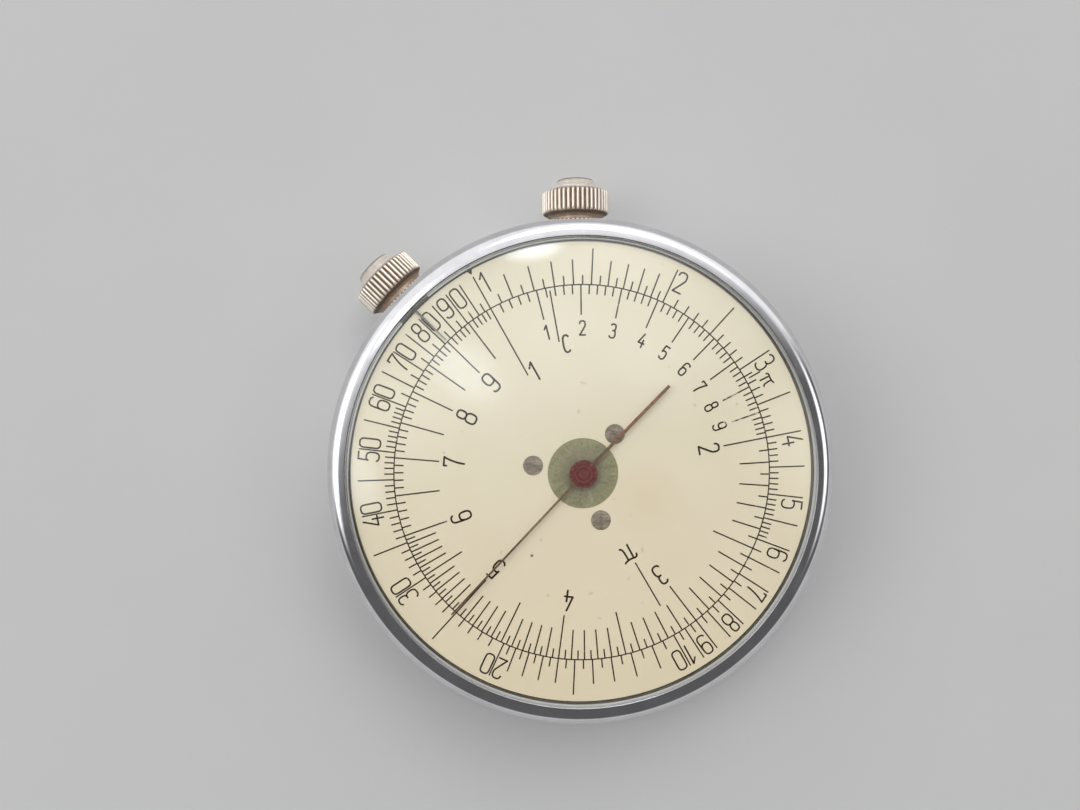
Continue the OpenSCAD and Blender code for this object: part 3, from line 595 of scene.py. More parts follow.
class Look:
    """Material with a Principled shader; textures use the piece's own coordinates in millimetres."""

    def __init__(self, name, values=None):
        self.material = bpy.data.materials.new(name)
        self.material.use_nodes = True
        self.tree = self.material.node_tree
        self.shader = self.tree.nodes["Principled BSDF"]
        for key, value in (values or {}).items():
            self.shader.inputs[key].default_value = value
        scaled = self.node("ShaderNodeVectorMath", operation="SCALE")
        scaled.inputs["Scale"].default_value = 1 / MM
        self.link(self.node("ShaderNodeTexCoord").outputs["Object"], scaled.inputs[0])
        self.mm = scaled.outputs[0]

    def node(self, kind, **settings):
        node = self.tree.nodes.new(kind)
        for key, value in settings.items():
            setattr(node, key, value)
        return node

    def link(self, output, target):
        self.tree.links.new(output, target)

    def math(self, operation, a, b=0.0):
        node = self.node("ShaderNodeMath", operation=operation)
        put(self.tree, a, node.inputs[0])
        put(self.tree, b, node.inputs[1])
        return node.outputs[0]

    def blend(self, a, share, b):
        """Weighted sum of two values; the share is that of the first."""
        return self.math("ADD", self.math("MULTIPLY", a, share), self.math("MULTIPLY", b, 1 - share))

    def axes(self):
        split = self.node("ShaderNodeSeparateXYZ")
        self.link(self.mm, split.inputs[0])
        return split.outputs

    def radius(self):
        """Distance from the piece's Z axis."""
        x, y, _ = self.axes()
        return self.math("SQRT", self.math("ADD", self.math("MULTIPLY", x, x), self.math("MULTIPLY", y, y)))

    def polar(self, around, outwards, along):
        """Coordinates round the Z axis, each stretched by a factor."""
        x, y, z = self.axes()
        join = self.node("ShaderNodeCombineXYZ")
        self.link(self.math("MULTIPLY", self.math("ARCTAN2", y, x), around), join.inputs[0])
        self.link(self.math("MULTIPLY", self.radius(), outwards), join.inputs[1])
        self.link(self.math("MULTIPLY", z, along), join.inputs[2])
        return join.outputs[0]

    def vector(self, operation, value):
        """Number that a vector operation gives for the place and a constant."""
        node = self.node("ShaderNodeVectorMath", operation=operation)
        self.link(self.mm, node.inputs[0])
        node.inputs[1].default_value = value
        return node.outputs["Value"]

    def noise(self, scale, detail, roughness, vector=None):
        node = self.node("ShaderNodeTexNoise")
        self.link(vector or self.mm, node.inputs["Vector"])
        for key, value in (("Scale", scale), ("Detail", detail), ("Roughness", roughness)):
            node.inputs[key].default_value = value
        return node.outputs["Fac"]

    def ramp(self, value, *stops):
        """Colour by value, from (place, colour) stops."""
        node = self.node("ShaderNodeValToRGB")
        self.link(value, node.inputs[0])
        elements = node.color_ramp.elements
        while len(elements) < len(stops):
            elements.new(1.0)
        for element, (place, colour) in zip(elements, stops):
            element.position = place
            element.color = (*colour, 1)
        return node.outputs[0]

    def span(self, value, low, high, to_low, to_high):
        return map_range(self.tree, value, (low, high), (to_low, to_high))

    def mix(self, share, a, b):
        """Colour between two, each an output or a plain colour."""
        node = self.node("ShaderNodeMix", data_type="RGBA")
        put(self.tree, share, node.inputs[0])
        for value, target in ((a, node.inputs[6]), (b, node.inputs[7])):
            put(self.tree, (*value, 1) if isinstance(value, tuple) else value, target)
        return node.outputs[2]

    def colour(self, value):
        self.link(value, self.shader.inputs["Base Color"])

    def roughness(self, value):
        self.link(value, self.shader.inputs["Roughness"])

    def metal(self, value):
        self.link(value, self.shader.inputs["Metallic"])

    def bump(self, height, depth):
        """Relief of a depth in millimetres."""
        node = self.node("ShaderNodeBump")
        node.inputs["Distance"].default_value = depth * MM
        self.link(height, node.inputs["Height"])
        self.link(node.outputs[0], self.shader.inputs["Normal"])

    def grained(self, grain, roughness, depth, limits=(0.3, 0.7)):
        """Finished material whose roughness and relief follow one texture."""
        self.roughness(self.span(grain, *limits, *roughness))
        self.bump(grain, depth)
        return self.material


# Materials

def chrome():
    """Polished plate with fine turned lines, and a dusty ledge under the glass, with a painted shadow line at
    the dial's edge and painted light towards the upper left.
    """
    look = Look("polished_chrome")
    handling = look.noise(0.35, 5, 0.6)
    lines = look.noise(1.0, 3, 0.6, look.polar(9, 5, 5))
    plated = look.ramp(handling, (0.3, (0.70, 0.69, 0.71)), (0.7, (0.82, 0.81, 0.83)))
    seat = look.span(look.radius(), SEEN_R - 0.03, SEEN_R - 0.01, 1.0, 0.0)
    # Ledge colour: dusty grey, with a dark painted shadow line where the ledge meets the dial's edge
    dust_and_painted_light = look.ramp(
        look.span(look.radius(), LEDGE_R, SEEN_R, 0.0, 1.0),
        (0.06, (0.09, 0.075, 0.055)),
        (0.26, (0.48, 0.465, 0.43)),
        (0.6, (0.44, 0.435, 0.41)),
        (0.8, (0.30, 0.305, 0.295)),
    )
    # Painted light: the ledge paler towards the upper left
    x, y, _ = look.axes()
    painted_light = look.span(look.math("SUBTRACT", y, x), 22.0, 31.0, 0.0, 0.8)
    dust_and_painted_light = look.mix(painted_light, dust_and_painted_light, (0.80, 0.80, 0.78))
    look.colour(look.mix(seat, plated, dust_and_painted_light))
    look.metal(look.span(seat, 0.0, 1.0, 1.0, 0.0))
    wear = look.math("ADD", look.span(handling, 0.4, 0.75, 0.06, 0.13), look.span(lines, 0.5, 0.8, 0.0, 0.06))
    look.roughness(look.math("ADD", wear, look.math("MULTIPLY", seat, 0.4)))
    look.bump(lines, 0.0022)
    return look.material


def nickel():
    """Knurling: bright ridges, grooves browned by grime and painted shade, and a painted shade ring where the
    barrel starts.
    """
    look = Look("worn_nickel")
    grime = look.noise(1.6, 4, 0.65)
    # Ridges lighter than the grooves: grime, and painted shade in the grooves
    depth = look.span(look.radius(), KNOB_R - KNURL_D, KNOB_R - 0.06, 0.0, 1.0)
    neck = look.span(look.radius(), NECK_R + 0.25, NECK_R + 0.4, 0.31, 0.0)
    bright = look.math("ADD", look.math("ADD", depth, neck), look.span(grime, 0.3, 0.7, -0.18, 0.18))
    toned = look.ramp(
        bright, (0.0, (0.20, 0.138, 0.09)), (0.4, (0.42, 0.32, 0.235)), (0.8, (0.84, 0.755, 0.665)),
    )
    # Painted shade: a dark ring on the cone where the barrel starts
    cone = KNOB_LOW.y + NECK_LEN
    under = look.span(look.axes()[2], cone + 0.14, cone + 0.26, 0.0, 1.0)
    shade = look.math("MULTIPLY", under, look.span(look.axes()[2], cone + 0.3, cone + 0.6, 0.6, 0.0))
    look.colour(look.mix(shade, toned, (0.11, 0.08, 0.062)))
    look.metal(look.span(bright, 0.0, 0.8, 0.4, 0.8))
    look.roughness(look.span(bright, 0.0, 1.0, 0.6, 0.32))
    look.bump(look.noise(6, 3, 0.6), 0.008)
    return look.material


def turned_nickel():
    """Knob caps: turned rings, with painted shade at the foot and round the face."""
    look = Look("turned_nickel", {"Metallic": 0.75})
    rings = look.noise(1.0, 3, 0.6, look.polar(0.15, 9, 9))
    grime = look.noise(1.1, 4, 0.6)
    tone = look.math("ADD", look.span(rings, 0.3, 0.7, 0.0, 0.65), look.span(grime, 0.35, 0.7, 0.0, 0.35))
    toned = look.ramp(tone, (0.1, (0.61, 0.53, 0.45)), (0.5, (0.93, 0.86, 0.775)), (1.0, (0.98, 0.93, 0.865)))
    # Painted shade: dark where the cap stands on the barrel and round the edge of its face
    base = look.span(look.axes()[2], KNOB_HIGH.y + 0.06, KNOB_HIGH.y + 0.3, 0.9, 0.0)
    edge = look.span(look.radius(), CAP_FACE_R - 0.28, CAP_FACE_R - 0.12, 0.0, 1.0)
    top = look.span(look.axes()[2], CAP_HIGH.y - 0.24, CAP_HIGH.y - 0.08, 0.0, 0.8)
    dark = look.math("MAXIMUM", base, look.math("MULTIPLY", edge, top))
    look.colour(look.mix(dark, toned, (0.20, 0.145, 0.105)))
    look.roughness(look.span(tone, 0.0, 1.0, 0.36, 0.22))
    look.bump(rings, 0.014)
    return look.material


def glass():
    """Clear acrylic with faint haze and scratches, which casts no shadow."""
    acrylic = {"Base Color": (0.985, 0.99, 0.985, 1), "Transmission Weight": 1.0, "IOR": 1.49}
    look = Look("clear_acrylic", acrylic)
    haze = look.span(look.noise(0.25, 4, 0.6), 0.5, 0.8, 0.0, 0.03)
    scratch = look.span(look.noise(3.0, 2, 0.5, look.polar(2, 0.4, 0.4)), 0.66, 0.72, 0.0, 0.02)
    look.roughness(look.math("ADD", haze, scratch))
    out = look.tree.nodes["Material Output"]
    path = look.node("ShaderNodeLightPath")
    clear = look.node("ShaderNodeBsdfTransparent")
    blend = look.node("ShaderNodeMixShader")
    lit = look.math("MAXIMUM", path.outputs["Is Shadow Ray"], path.outputs["Is Diffuse Ray"])
    look.link(lit, blend.inputs[0])
    look.link(look.shader.outputs[0], blend.inputs[1])
    look.link(clear.outputs[0], blend.inputs[2])
    look.link(blend.outputs[0], out.inputs["Surface"])
    return look.material


def ivory():
    look = Look("aged_ivory_paint")
    cloud = look.noise(0.11, 4, 0.55)
    fibre = look.noise(2.2, 5, 0.65)
    paint = look.ramp(cloud, (0.3, (0.805, 0.725, 0.545)), (0.7, (0.85, 0.78, 0.605)))
    low = look.span(look.axes()[1], 12, -20, 0.0, 0.75)
    paint = look.mix(low, paint, (0.795, 0.66, 0.45))
    # Darker and browner towards the rim: age, and painted shade from the rim
    edge = look.span(look.radius(), 0.8 * DIAL_R, DIAL_R, 0.0, 0.35)
    paint = look.mix(edge, paint, (0.74, 0.66, 0.46))
    stain = look.math("MULTIPLY", look.span(look.vector("DISTANCE", STAIN), 0.5, 4.2, 0.42, 0.0), cloud)
    paint = look.mix(stain, paint, (0.66, 0.43, 0.20))
    speck = look.span(look.noise(1.3, 1, 0.4), 0.76, 0.8, 0.0, 0.35)
    paint = look.mix(speck, paint, (0.45, 0.36, 0.25))
    blot = look.span(look.vector("DISTANCE", BLOT), 0.08, 0.2, 0.85, 0.0)
    look.colour(look.mix(blot, paint, (0.06, 0.05, 0.04)))
    return look.grained(fibre, (0.38, 0.52), 0.004)


def printed():
    look = Look("printed_ink", {"Roughness": 0.65, "Specular IOR Level": 0.15})
    fade = look.noise(1.1, 4, 0.7)
    tone = look.ramp(fade, (0.35, (0.022, 0.009, 0.001)), (0.75, (0.045, 0.023, 0.005)))
    rubbed = look.span(look.vector("DISTANCE", RUBBED), 1.0, 3.0, 0.2, 0.0)
    gaps = look.span(look.math("ADD", look.noise(2.6, 2, 0.5), rubbed), 0.70, 0.76, 0.0, 0.8)
    look.colour(look.mix(gaps, tone, (0.62, 0.54, 0.39)))
    return look.material


def olive():
    look = Look("olive_lacquer")
    rays = look.noise(1.0, 3, 0.6, look.polar(6, 0.5, 1))
    cloud = look.noise(0.8, 3, 0.6)
    tone = look.blend(rays, 0.5, cloud)
    green = look.ramp(tone, (0.38, (0.20, 0.19, 0.098)), (0.62, (0.325, 0.305, 0.175)))
    grit = look.noise(3.6, 4, 0.75)
    green = look.mix(look.span(grit, 0.47, 0.35, 0.0, 0.55), green, (0.15, 0.135, 0.07))
    green = look.mix(look.span(grit, 0.54, 0.66, 0.0, 0.5), green, (0.46, 0.43, 0.30))
    # Painted shade round the hub, broken up by noise
    centre = look.math("MULTIPLY", look.span(look.radius(), 1.4, 2.9, 1.3, 0.0), look.noise(1.3, 3, 0.6))
    toned = look.mix(centre, green, (0.225, 0.19, 0.125))
    # Painted highlight: a lighter ring at the edge of the raised face
    rim = look.span(look.radius(), 3.1, 3.4, 0.0, 0.5)
    look.colour(look.mix(rim, toned, (0.34, 0.31, 0.145)))
    return look.grained(rays, (0.45, 0.6), 0.008)


def crimson():
    look = Look("worn_crimson_paint")
    chips = look.noise(2.4, 4, 0.75)
    cloud = look.noise(1.1, 3, 0.6)
    paint = look.ramp(cloud, (0.3, (0.10, 0.010, 0.009)), (0.7, (0.165, 0.022, 0.018)))
    bare = look.span(chips, 0.54, 0.64, 0.0, 0.75)
    paint = look.mix(bare, paint, (0.13, 0.07, 0.045))
    grit = look.noise(3.4, 3, 0.7)
    look.colour(look.mix(look.span(grit, 0.55, 0.68, 0.0, 0.6), paint, (0.30, 0.10, 0.09)))
    return look.grained(chips, (0.42, 0.65), 0.012, limits=(0.4, 0.7))


def hand_paint():
    """Worn brown bar that changes along its length, with a crimson hub."""
    look = Look("worn_red_brown_paint")
    chips = look.noise(3.6, 4, 0.75)
    reach = look.vector("DOT_PRODUCT", (*heading(HAND_ANGLE), 0))
    long_end = look.span(reach, 2.0, 5.0, 0.0, 1.0)
    far_end = look.span(reach, 7.0, 10.0, 0.0, 1.0)
    tail = look.span(reach, -3.0, -5.0, 0.0, 1.0)
    bar = look.mix(long_end, (0.16, 0.095, 0.05), (0.25, 0.17, 0.08))
    bar = look.mix(far_end, bar, (0.125, 0.056, 0.016))
    bar = look.mix(tail, bar, (0.25, 0.12, 0.055))
    hub = look.span(look.radius(), HUB_R - 0.1, HUB_R + 0.15, 1.0, 0.0)
    grit = look.noise(3.4, 3, 0.7)
    boss = look.ramp(
        grit, (0.40, (0.06, 0.007, 0.007)), (0.51, (0.135, 0.014, 0.012)), (0.64, (0.30, 0.075, 0.07)),
    )
    paint = look.mix(hub, bar, boss)
    bare = look.span(chips, 0.52, 0.58, 0.0, 0.8)
    look.colour(look.mix(bare, paint, (0.06, 0.03, 0.014)))
    return look.grained(chips, (0.42, 0.7), 0.012, limits=(0.4, 0.7))


def steel():
    look = Look("dull_steel", {"Metallic": 0.85})
    brush = look.noise(1.0, 4, 0.7, look.polar(0.8, 11, 11))
    grime = look.noise(1.4, 4, 0.6)
    tone = look.blend(brush, 0.55, grime)
    look.colour(look.ramp(tone, (0.35, (0.36, 0.34, 0.31)), (0.65, (0.56, 0.54, 0.51))))
    return look.grained(brush, (0.3, 0.5), 0.006)


def screw_face():
    """Dial screws: scratched heads with dirt in the slots."""
    look = Look("dull_screw_face", {"Metallic": 0.4})
    streak = look.node("ShaderNodeMapping")
    look.link(look.mm, streak.inputs[0])
    streak.inputs["Rotation"].default_value = (0, 0, math.radians(SCRATCH_TURN))
    streak.inputs["Scale"].default_value = (0.7, 5.5, 1.0)
    brush = look.noise(1.0, 4, 0.65, streak.outputs[0])
    grime = look.noise(1.6, 4, 0.65)
    tone = look.blend(brush, 0.55, grime)
    face = look.ramp(tone, (0.36, (0.13, 0.10, 0.075)), (0.62, (0.42, 0.345, 0.265)))
    low = look.span(look.axes()[2], DIAL_TOP - SLOT_FILL, DIAL_TOP - 0.01, 0.35, 0.0)
    look.colour(look.mix(low, face, (0.15, 0.115, 0.085)))
    return look.grained(brush, (0.42, 0.6), 0.012)


def brass():
    look = Look("turned_brass", {"Metallic": 1.0})
    rings = look.noise(1.0, 4, 0.65, look.polar(0.6, 6, 6))
    age = look.noise(0.4, 4, 0.6)
    tone = look.blend(rings, 0.5, age)
    look.colour(look.ramp(tone, (0.35, (0.50, 0.36, 0.15)), (0.65, (0.74, 0.57, 0.29))))
    return look.grained(rings, (0.22, 0.42), 0.008)


def lacquer():
    """Fixed index: dark tab, and a blade painted paler towards its tip as a painted reflection."""
    look = Look("worn_dark_lacquer", {"Metallic": 0.35})
    wear = look.noise(2.0, 4, 0.65)
    outer = look.span(look.radius(), LEDGE_R + 0.1, SEEN_R, 0.0, 0.6)
    dark = look.ramp(wear, (0.35, (0.07, 0.066, 0.06)), (0.7, (0.14, 0.132, 0.12)))
    # Painted reflection: the blade paler towards its tip
    blade = look.span(look.radius(), INDEX_FOOT_R, INDEX_TIP_R, 0.1, 0.6)
    look.colour(look.mix(blade, look.mix(outer, dark, (0.27, 0.265, 0.255)), (0.42, 0.41, 0.36)))
    return look.grained(wear, (0.3, 0.5), 0.006)


def enamel(name, deep, light):
    look = Look(name)
    cloud = look.noise(1.5, 4, 0.6)
    look.colour(look.ramp(cloud, (0.35, deep), (0.7, light)))
    return look.grained(cloud, (0.14, 0.32), 0.008)


CHROME = chrome()
NICKEL = nickel()
TURNED_NICKEL = turned_nickel()
GLASS = glass()
IVORY = ivory()
INK = printed()
OLIVE = olive()
CRIMSON = crimson()
HAND_PAINT = hand_paint()
STEEL = steel()
SCREW_FACE = screw_face()
BRASS = brass()
LACQUER = lacquer()
RED = enamel("red_enamel", (0.30, 0.015, 0.015), (0.46, 0.03, 0.03))
BLACK = enamel("black_enamel", (0.012, 0.012, 0.013), (0.035, 0.034, 0.033))


# Case and glasses

def bezel(name, node, side, rim, bore, ledge_depth):
    """Rim with a ledge, a bevel, a flat land and a round outer edge; side is 1 in front, -1 behind."""
    land = CASE_R - ROUND_R
    section = [
        (LEDGE_R, ledge_depth, RIM_EDGE),
        (bore, ledge_depth),
        (bore, BEVEL_H, BORE_EDGE),
        (bore + BEVEL_W, 0, RIM_EDGE),
        (land, 0),
    ]
    section += [(r, ROUND_R - h) for r, h in arc(land, 0, ROUND_R, 90, 0, 24)[1:]]
    section += [
        (CASE_R - BEZEL_DRAW, BEZEL_H, SKIRT_EDGE),
        (SPIGOT_R, BEZEL_H),
        (SPIGOT_R, BEZEL_H - SPIGOT_H),
        (LEDGE_R, BEZEL_H - SPIGOT_H),
    ]
    outline = [(r, rim - side * depth) for r, depth in soften(section)]
    piece(name, lathe(name, outline), CHROME, "case", node)


front_depth = BEZEL_HIGH.z - GLASS_LOW.z + LEDGE_DROP
rear_depth = REAR_GLASS_HIGH.z + LEDGE_DROP
bezel("front_rim", "front_bezel", 1, BEZEL_HIGH.z, SEEN_R + SEAT_GAP, front_depth)
bezel("rear_rim", "rear_bezel", -1, REAR_RIM, REAR_GLASS_HIGH.x + SEAT_GAP, rear_depth)

band = smooth(frame["nodes"]["case_ring"].data.copy(), BAND_SHARP_ANGLE, BAND_WELD)
piece("case_band", band, CHROME, "case", "case_ring")


def front_glass_outline():
    """Shallow dome on a flat foot, hollow underneath and bevelled round its outer edge."""
    foot = GLASS_LOW.z + GLASS_LIFT
    edge_z = GLASS_HIGH.z - GLASS_DOME
    dome_r = (GLASS_R ** 2 + GLASS_DOME ** 2) / (2 * GLASS_DOME)
    dome_z = GLASS_HIGH.z - dome_r
    bore = GLASS_R - GLASS_T
    lean = math.degrees(math.acos((SEEN_R - GLASS_BEVEL) / dome_r))
    inner_lean = math.degrees(math.acos(bore / (dome_r - GLASS_T)))
    outside = arc(0, dome_z, dome_r, 90, lean, 40)
    inside = arc(0, dome_z, dome_r - GLASS_T, inner_lean, 90, 40)
    return soften(outside[:-1] + [
        (*outside[-1], GLASS_EDGE),
        (SEEN_R, edge_z - GLASS_BEVEL, GLASS_EDGE),
        (SEEN_R, foot),
        (bore, foot),
    ]) + inside


rear_glass_outline = soften([
    (0, REAR_GLASS_LOW.z),
    (REAR_GLASS_HIGH.x - GLASS_BEVEL, REAR_GLASS_LOW.z, REAR_GLASS_EDGE),
    (REAR_GLASS_HIGH.x, REAR_GLASS_LOW.z + GLASS_BEVEL, REAR_GLASS_EDGE),
    (REAR_GLASS_HIGH.x, REAR_GLASS_HIGH.z),
    (0, REAR_GLASS_HIGH.z),
])
front_crystal = lathe("front_crystal", front_glass_outline())
piece("front_crystal", front_crystal, GLASS, "case", "front_glass")
rear_crystal = lathe("rear_crystal", rear_glass_outline)
piece("rear_crystal", rear_crystal, GLASS, "case", "rear_glass")


# Dials with their prints and screws

def hole(angle, circle, r):
    """Round hole on a circle of holes."""
    x, y = heading(angle)
    return arc(circle * x, circle * y, r, 0, 360, 48)[:-1]


def dial_loops(edge, bore, screws, circle):
    """Edge of a dial, its bore and its screw holes."""
    return [edge, bore[:-1]] + [hole(angle, circle, SCREW_R + SEAT_GAP) for angle, _ in screws]


def notched_edge():
    """Edge of the front dial, with the notch at the unit mark."""
    centre = 90 - UNIT_ANGLE
    half = math.degrees(NOTCH_W / DIAL_R)
    a = math.radians(centre)
    notch = ((DIAL_R - NOTCH_D) * math.cos(a), (DIAL_R - NOTCH_D) * math.sin(a))
    return arc(0, 0, DIAL_R, centre + half, centre + 360 - half, 300) + [notch]


def slotted_heads(name, screws, circle, face, behind, slot_depth):
    """Flush slotted heads: a disc with two halves on it that leave the slot free."""
    side = 1 if face > behind else -1
    floor = face - side * slot_depth
    bite = math.degrees(math.asin(SLOT_W / 2 / SCREW_R))
    half = arc(0, 0, SCREW_R, bite, 180 - bite, 24)
    meshes = []
    for angle, slot in screws:
        x, y = heading(angle)
        place = Matrix.Translation((circle * x * MM, circle * y * MM, 0))
        disc = plate(name, [hole(0, 0, SCREW_R)], min(behind, floor), max(behind, floor), DISC_EDGE)
        disc.transform(place)
        meshes.append(disc)
        for turn in (slot, slot + 180):
            top = plate(name, [half], min(floor, face), max(floor, face), HEAD_EDGE)
            top.transform(place @ Matrix.Rotation(math.radians(turn), 4, "Z"))
            meshes.append(top)
    return joined(name, meshes)


front_bore = arc(0, 0, DIAL_HOLE_R, 0, 360, 120)
front_loops = dial_loops(notched_edge(), front_bore, DIAL_SCREWS, DIAL_SCREW_CIRCLE)
front_disc = plate("front_dial_disc", front_loops, DIAL_LOW.z, DIAL_TOP, DIAL_EDGE)
piece("front_dial_disc", front_disc, IVORY, "dial", "front_dial")
rear_edge = arc(0, 0, DIAL_R, 0, 360, 300)[:-1]
rear_bore = arc(0, 0, REAR_HOLE_R, 0, 360, 96)
rear_loops = dial_loops(rear_edge, rear_bore, REAR_SCREWS, REAR_SCREW_CIRCLE)
rear_disc = plate("rear_dial_disc", rear_loops, REAR_LOW.z, REAR_HIGH.z, REAR_DIAL_EDGE)
piece("rear_dial_disc", rear_disc, IVORY, "case", "rear_dial")

front_print = printed_scales(UNIT_ANGLE)
special_marks(front_print, UNIT_ANGLE)
piece("front_dial_print", front_print.mesh("front_dial_print", DIAL_TOP), INK, "dial")

rear_print = printed_scales(0)
piece("rear_dial_print", rear_print.mesh("rear_dial_print", REAR_LOW.z, True), INK, "case")

front_heads = slotted_heads(
    "front_dial_heads", DIAL_SCREWS, DIAL_SCREW_CIRCLE, DIAL_TOP, DIAL_LOW.z, SLOT_FILL,
)
piece("front_dial_heads", front_heads, SCREW_FACE, "dial", "front_dial_screws")
rear_heads = slotted_heads(
    "rear_dial_heads", REAR_SCREWS, REAR_SCREW_CIRCLE, REAR_LOW.z, REAR_HIGH.z, SLOT_D,
)
piece("rear_dial_heads", rear_heads, STEEL, "case", "rear_dial_screws")


# Centre: collar, hands, collets and arbor

collar_flange_z = DIAL_LOW.z - COLLAR_FLANGE_GAP
collar_outline = soften([
    (COLLAR_BORE_R, COLLAR_LOW.z),
    (COLLAR_HIGH.x, COLLAR_LOW.z),
    (COLLAR_HIGH.x, collar_flange_z),
    (DIAL_HOLE_R - COLLAR_GAP, collar_flange_z),
    (DIAL_HOLE_R - COLLAR_GAP, COLLAR_HIGH.z, COLLAR_EDGE),
    (COLLAR_LIP_R, COLLAR_HIGH.z, COLLAR_LIP_EDGE),
    (COLLAR_LIP_R, collar_flange_z),
    (COLLAR_BORE_R, collar_flange_z),
])
collar = lathe("collar", collar_outline, columns=120)
piece("collar", collar, OLIVE, "case", "retaining_collar")


def hand_loops():
    """Tapering pointed end, slightly bent tail and round hub with the collet's hole, pointing along +Y."""
    long_bite = math.degrees(math.asin(HAND_W / 2 / HUB_R))
    tail_bite = math.degrees(math.asin(TAIL_W / 2 / HUB_R))
    neck = HAND_REACH - HAND_TIP_W
    outline = arc(0, 0, HUB_R, -90 + tail_bite, 90 - long_bite, 30)
    outline += [(HAND_TIP_W / 2, neck), (0, HAND_REACH), (-HAND_TIP_W / 2, neck)]
    outline += arc(0, 0, HUB_R, 90 + long_bite, 270 - tail_bite, 30)
    tail_end = -TAIL_REACH - TAIL_MORE
    bent = tail_end * math.sin(math.radians(TAIL_BEND))
    outline += [(bent - TAIL_W / 2, tail_end), (bent + TAIL_W / 2, tail_end)]
    return [outline, arc(0, 0, COLLET_R + SEAT_GAP, 0, 360, 48)[:-1]]


def hand(name, node, low, high):
    mesh = plate(name, hand_loops(), low, high, HAND_EDGE)
    mesh.transform(clockwise(HAND_ANGLE))
    piece(name, mesh, HAND_PAINT, "hands", node)


def collet(name, node):
    low, high = corners(node)
    bore = ARBOR_END_R + SEAT_GAP
    outline = soften([
        (bore, low.z, COLLET_EDGE),
        (high.x, low.z, COLLET_EDGE),
        (high.x, high.z, COLLET_EDGE),
        (bore, high.z, COLLET_EDGE),
    ])
    piece(name, lathe(name, outline, columns=64), CRIMSON, "hands", node)


hand("front_pointer", "front_hand", HAND_LOW.z, HAND_HIGH.z)
hand("rear_pointer", "rear_hand", REAR_HAND_LOW.z, REAR_HAND_HIGH.z)
collet("front_collet", "front_hand_collet")
collet("rear_collet", "rear_hand_collet")


# Knobs

# Depth of the knurling across one ridge, as (share of the pitch, share of the groove's depth)
RIDGE = (
    (-0.5, 1), (-0.44, 1), (-0.38, 0.95), (-0.33, 0.8), (-0.27, 0.45), (-0.21, 0.15), (-0.12, 0.02),
    (0, 0), (0.12, 0.02), (0.21, 0.15), (0.27, 0.45), (0.33, 0.8), (0.38, 0.95), (0.44, 1),
)


def knob_outline():
    """Turned form of a knob before its ridges are cut: neck, cone, barrel with round ends, and bores."""
    start = KNOB_LOW.y
    end = KNOB_HIGH.y
    cone = start + NECK_LEN
    knurl = cone + CONE_LEN
    ring_r = KNOB_R - KNURL_D - KNURL_BEVEL_CUT
    blank_r = KNOB_R + BLANK_OVERSIZE
    swell = blank_r - ring_r
    quarter = [math.radians(90 * i / 8) for i in range(9)]
    outline = [(TUBE_BORE_R, start), (NECK_R - NECK_CHAMFER, start), (NECK_R, start + NECK_CHAMFER)]
    outline += [(NECK_R, cone)]
    outline += [(ring_r + swell * math.sin(a), knurl + KNURL_BEVEL_LEN * (1 - math.cos(a))) for a in quarter]
    outline += [(blank_r, (knurl + end) / 2)]
    outline += [(ring_r + swell * math.cos(a), end - KNURL_BEVEL_LEN * (1 - math.sin(a))) for a in quarter]
    spigot_r = CAP_SPIGOT_R + SEAT_GAP
    outline += [(spigot_r, end), (spigot_r, end - CAP_SPIGOT_LEN), (STEM_BORE_R, end - CAP_SPIGOT_LEN)]
    return outline + [(STEM_BORE_R, start + TUBE_BORE_LEN), (TUBE_BORE_R, start + TUBE_BORE_LEN)]


def knob_mesh(name):
    """Turned form whose radius is cut back to the knurling wherever it would stand outside it."""
    outline = knob_outline()
    points = []
    for ridge in range(KNURL_COUNT):
        for place, depth in RIDGE:
            points.append((math.tau * (ridge + place) / KNURL_COUNT, KNOB_R - KNURL_D * depth))
    columns = len(points)
    vertices = []
    for r, z in outline:
        for turn, reach in points:
            at = min(r, reach)
            vertices.append((at * math.cos(turn), at * math.sin(turn), z))
    faces = []
    for row in range(len(outline)):
        after = (row + 1) % len(outline)
        for i in range(columns):
            j = (i + 1) % columns
            faces.append((row * columns + i, row * columns + j, after * columns + j, after * columns + i))
    return finish_mesh(name, vertices, faces, KNOB_SHARP_ANGLE)


def cap_outline():
    """Cone with fine turned grooves, a round edge, a flat face and a recess for the dot."""
    base = KNOB_HIGH.y
    face = CAP_HIGH.y
    outline = [(0, base - CAP_SPIGOT_LEN), (CAP_SPIGOT_R, base - CAP_SPIGOT_LEN), (CAP_SPIGOT_R, base)]
    foot_in, foot_up = CAP_FOOT_EDGE
    outline += [(CAP_HIGH.x - foot_in, base), (CAP_HIGH.x, base + foot_up)]
    for share in GROOVES:
        z = base + share * (face - base)
        r = CAP_HIGH.x + (CAP_FACE_R - CAP_HIGH.x) * share
        outline += [(r + GROOVE_LIP, z - GROOVE_HALF_W), (r - GROOVE_D, z)]
        outline += [(r - GROOVE_LIP, z + GROOVE_HALF_W)]
    outline += arc(CAP_FACE_R - CAP_ROUND / 2, face - CAP_ROUND, CAP_ROUND, CAP_ROUND_START, 90, 8)
    recess_r = DOT_R + SEAT_GAP
    return outline + [(recess_r, face), (recess_r, face - DOT_DEPTH), (0, face - DOT_DEPTH)]


def dot_outline():
    """Enamel filling, slightly crowned."""
    low = CAP_HIGH.y - DOT_DEPTH + DOT_GAP
    rim = CAP_HIGH.y - DOT_CROWN
    crown = [(DOT_R * math.cos(a), rim + DOT_CROWN * math.sin(a)) for a in (0, 0.3, 0.6, 0.9, 1.2)]
    return [(0, low), (DOT_R, low)] + crown + [(0, CAP_HIGH.y)]


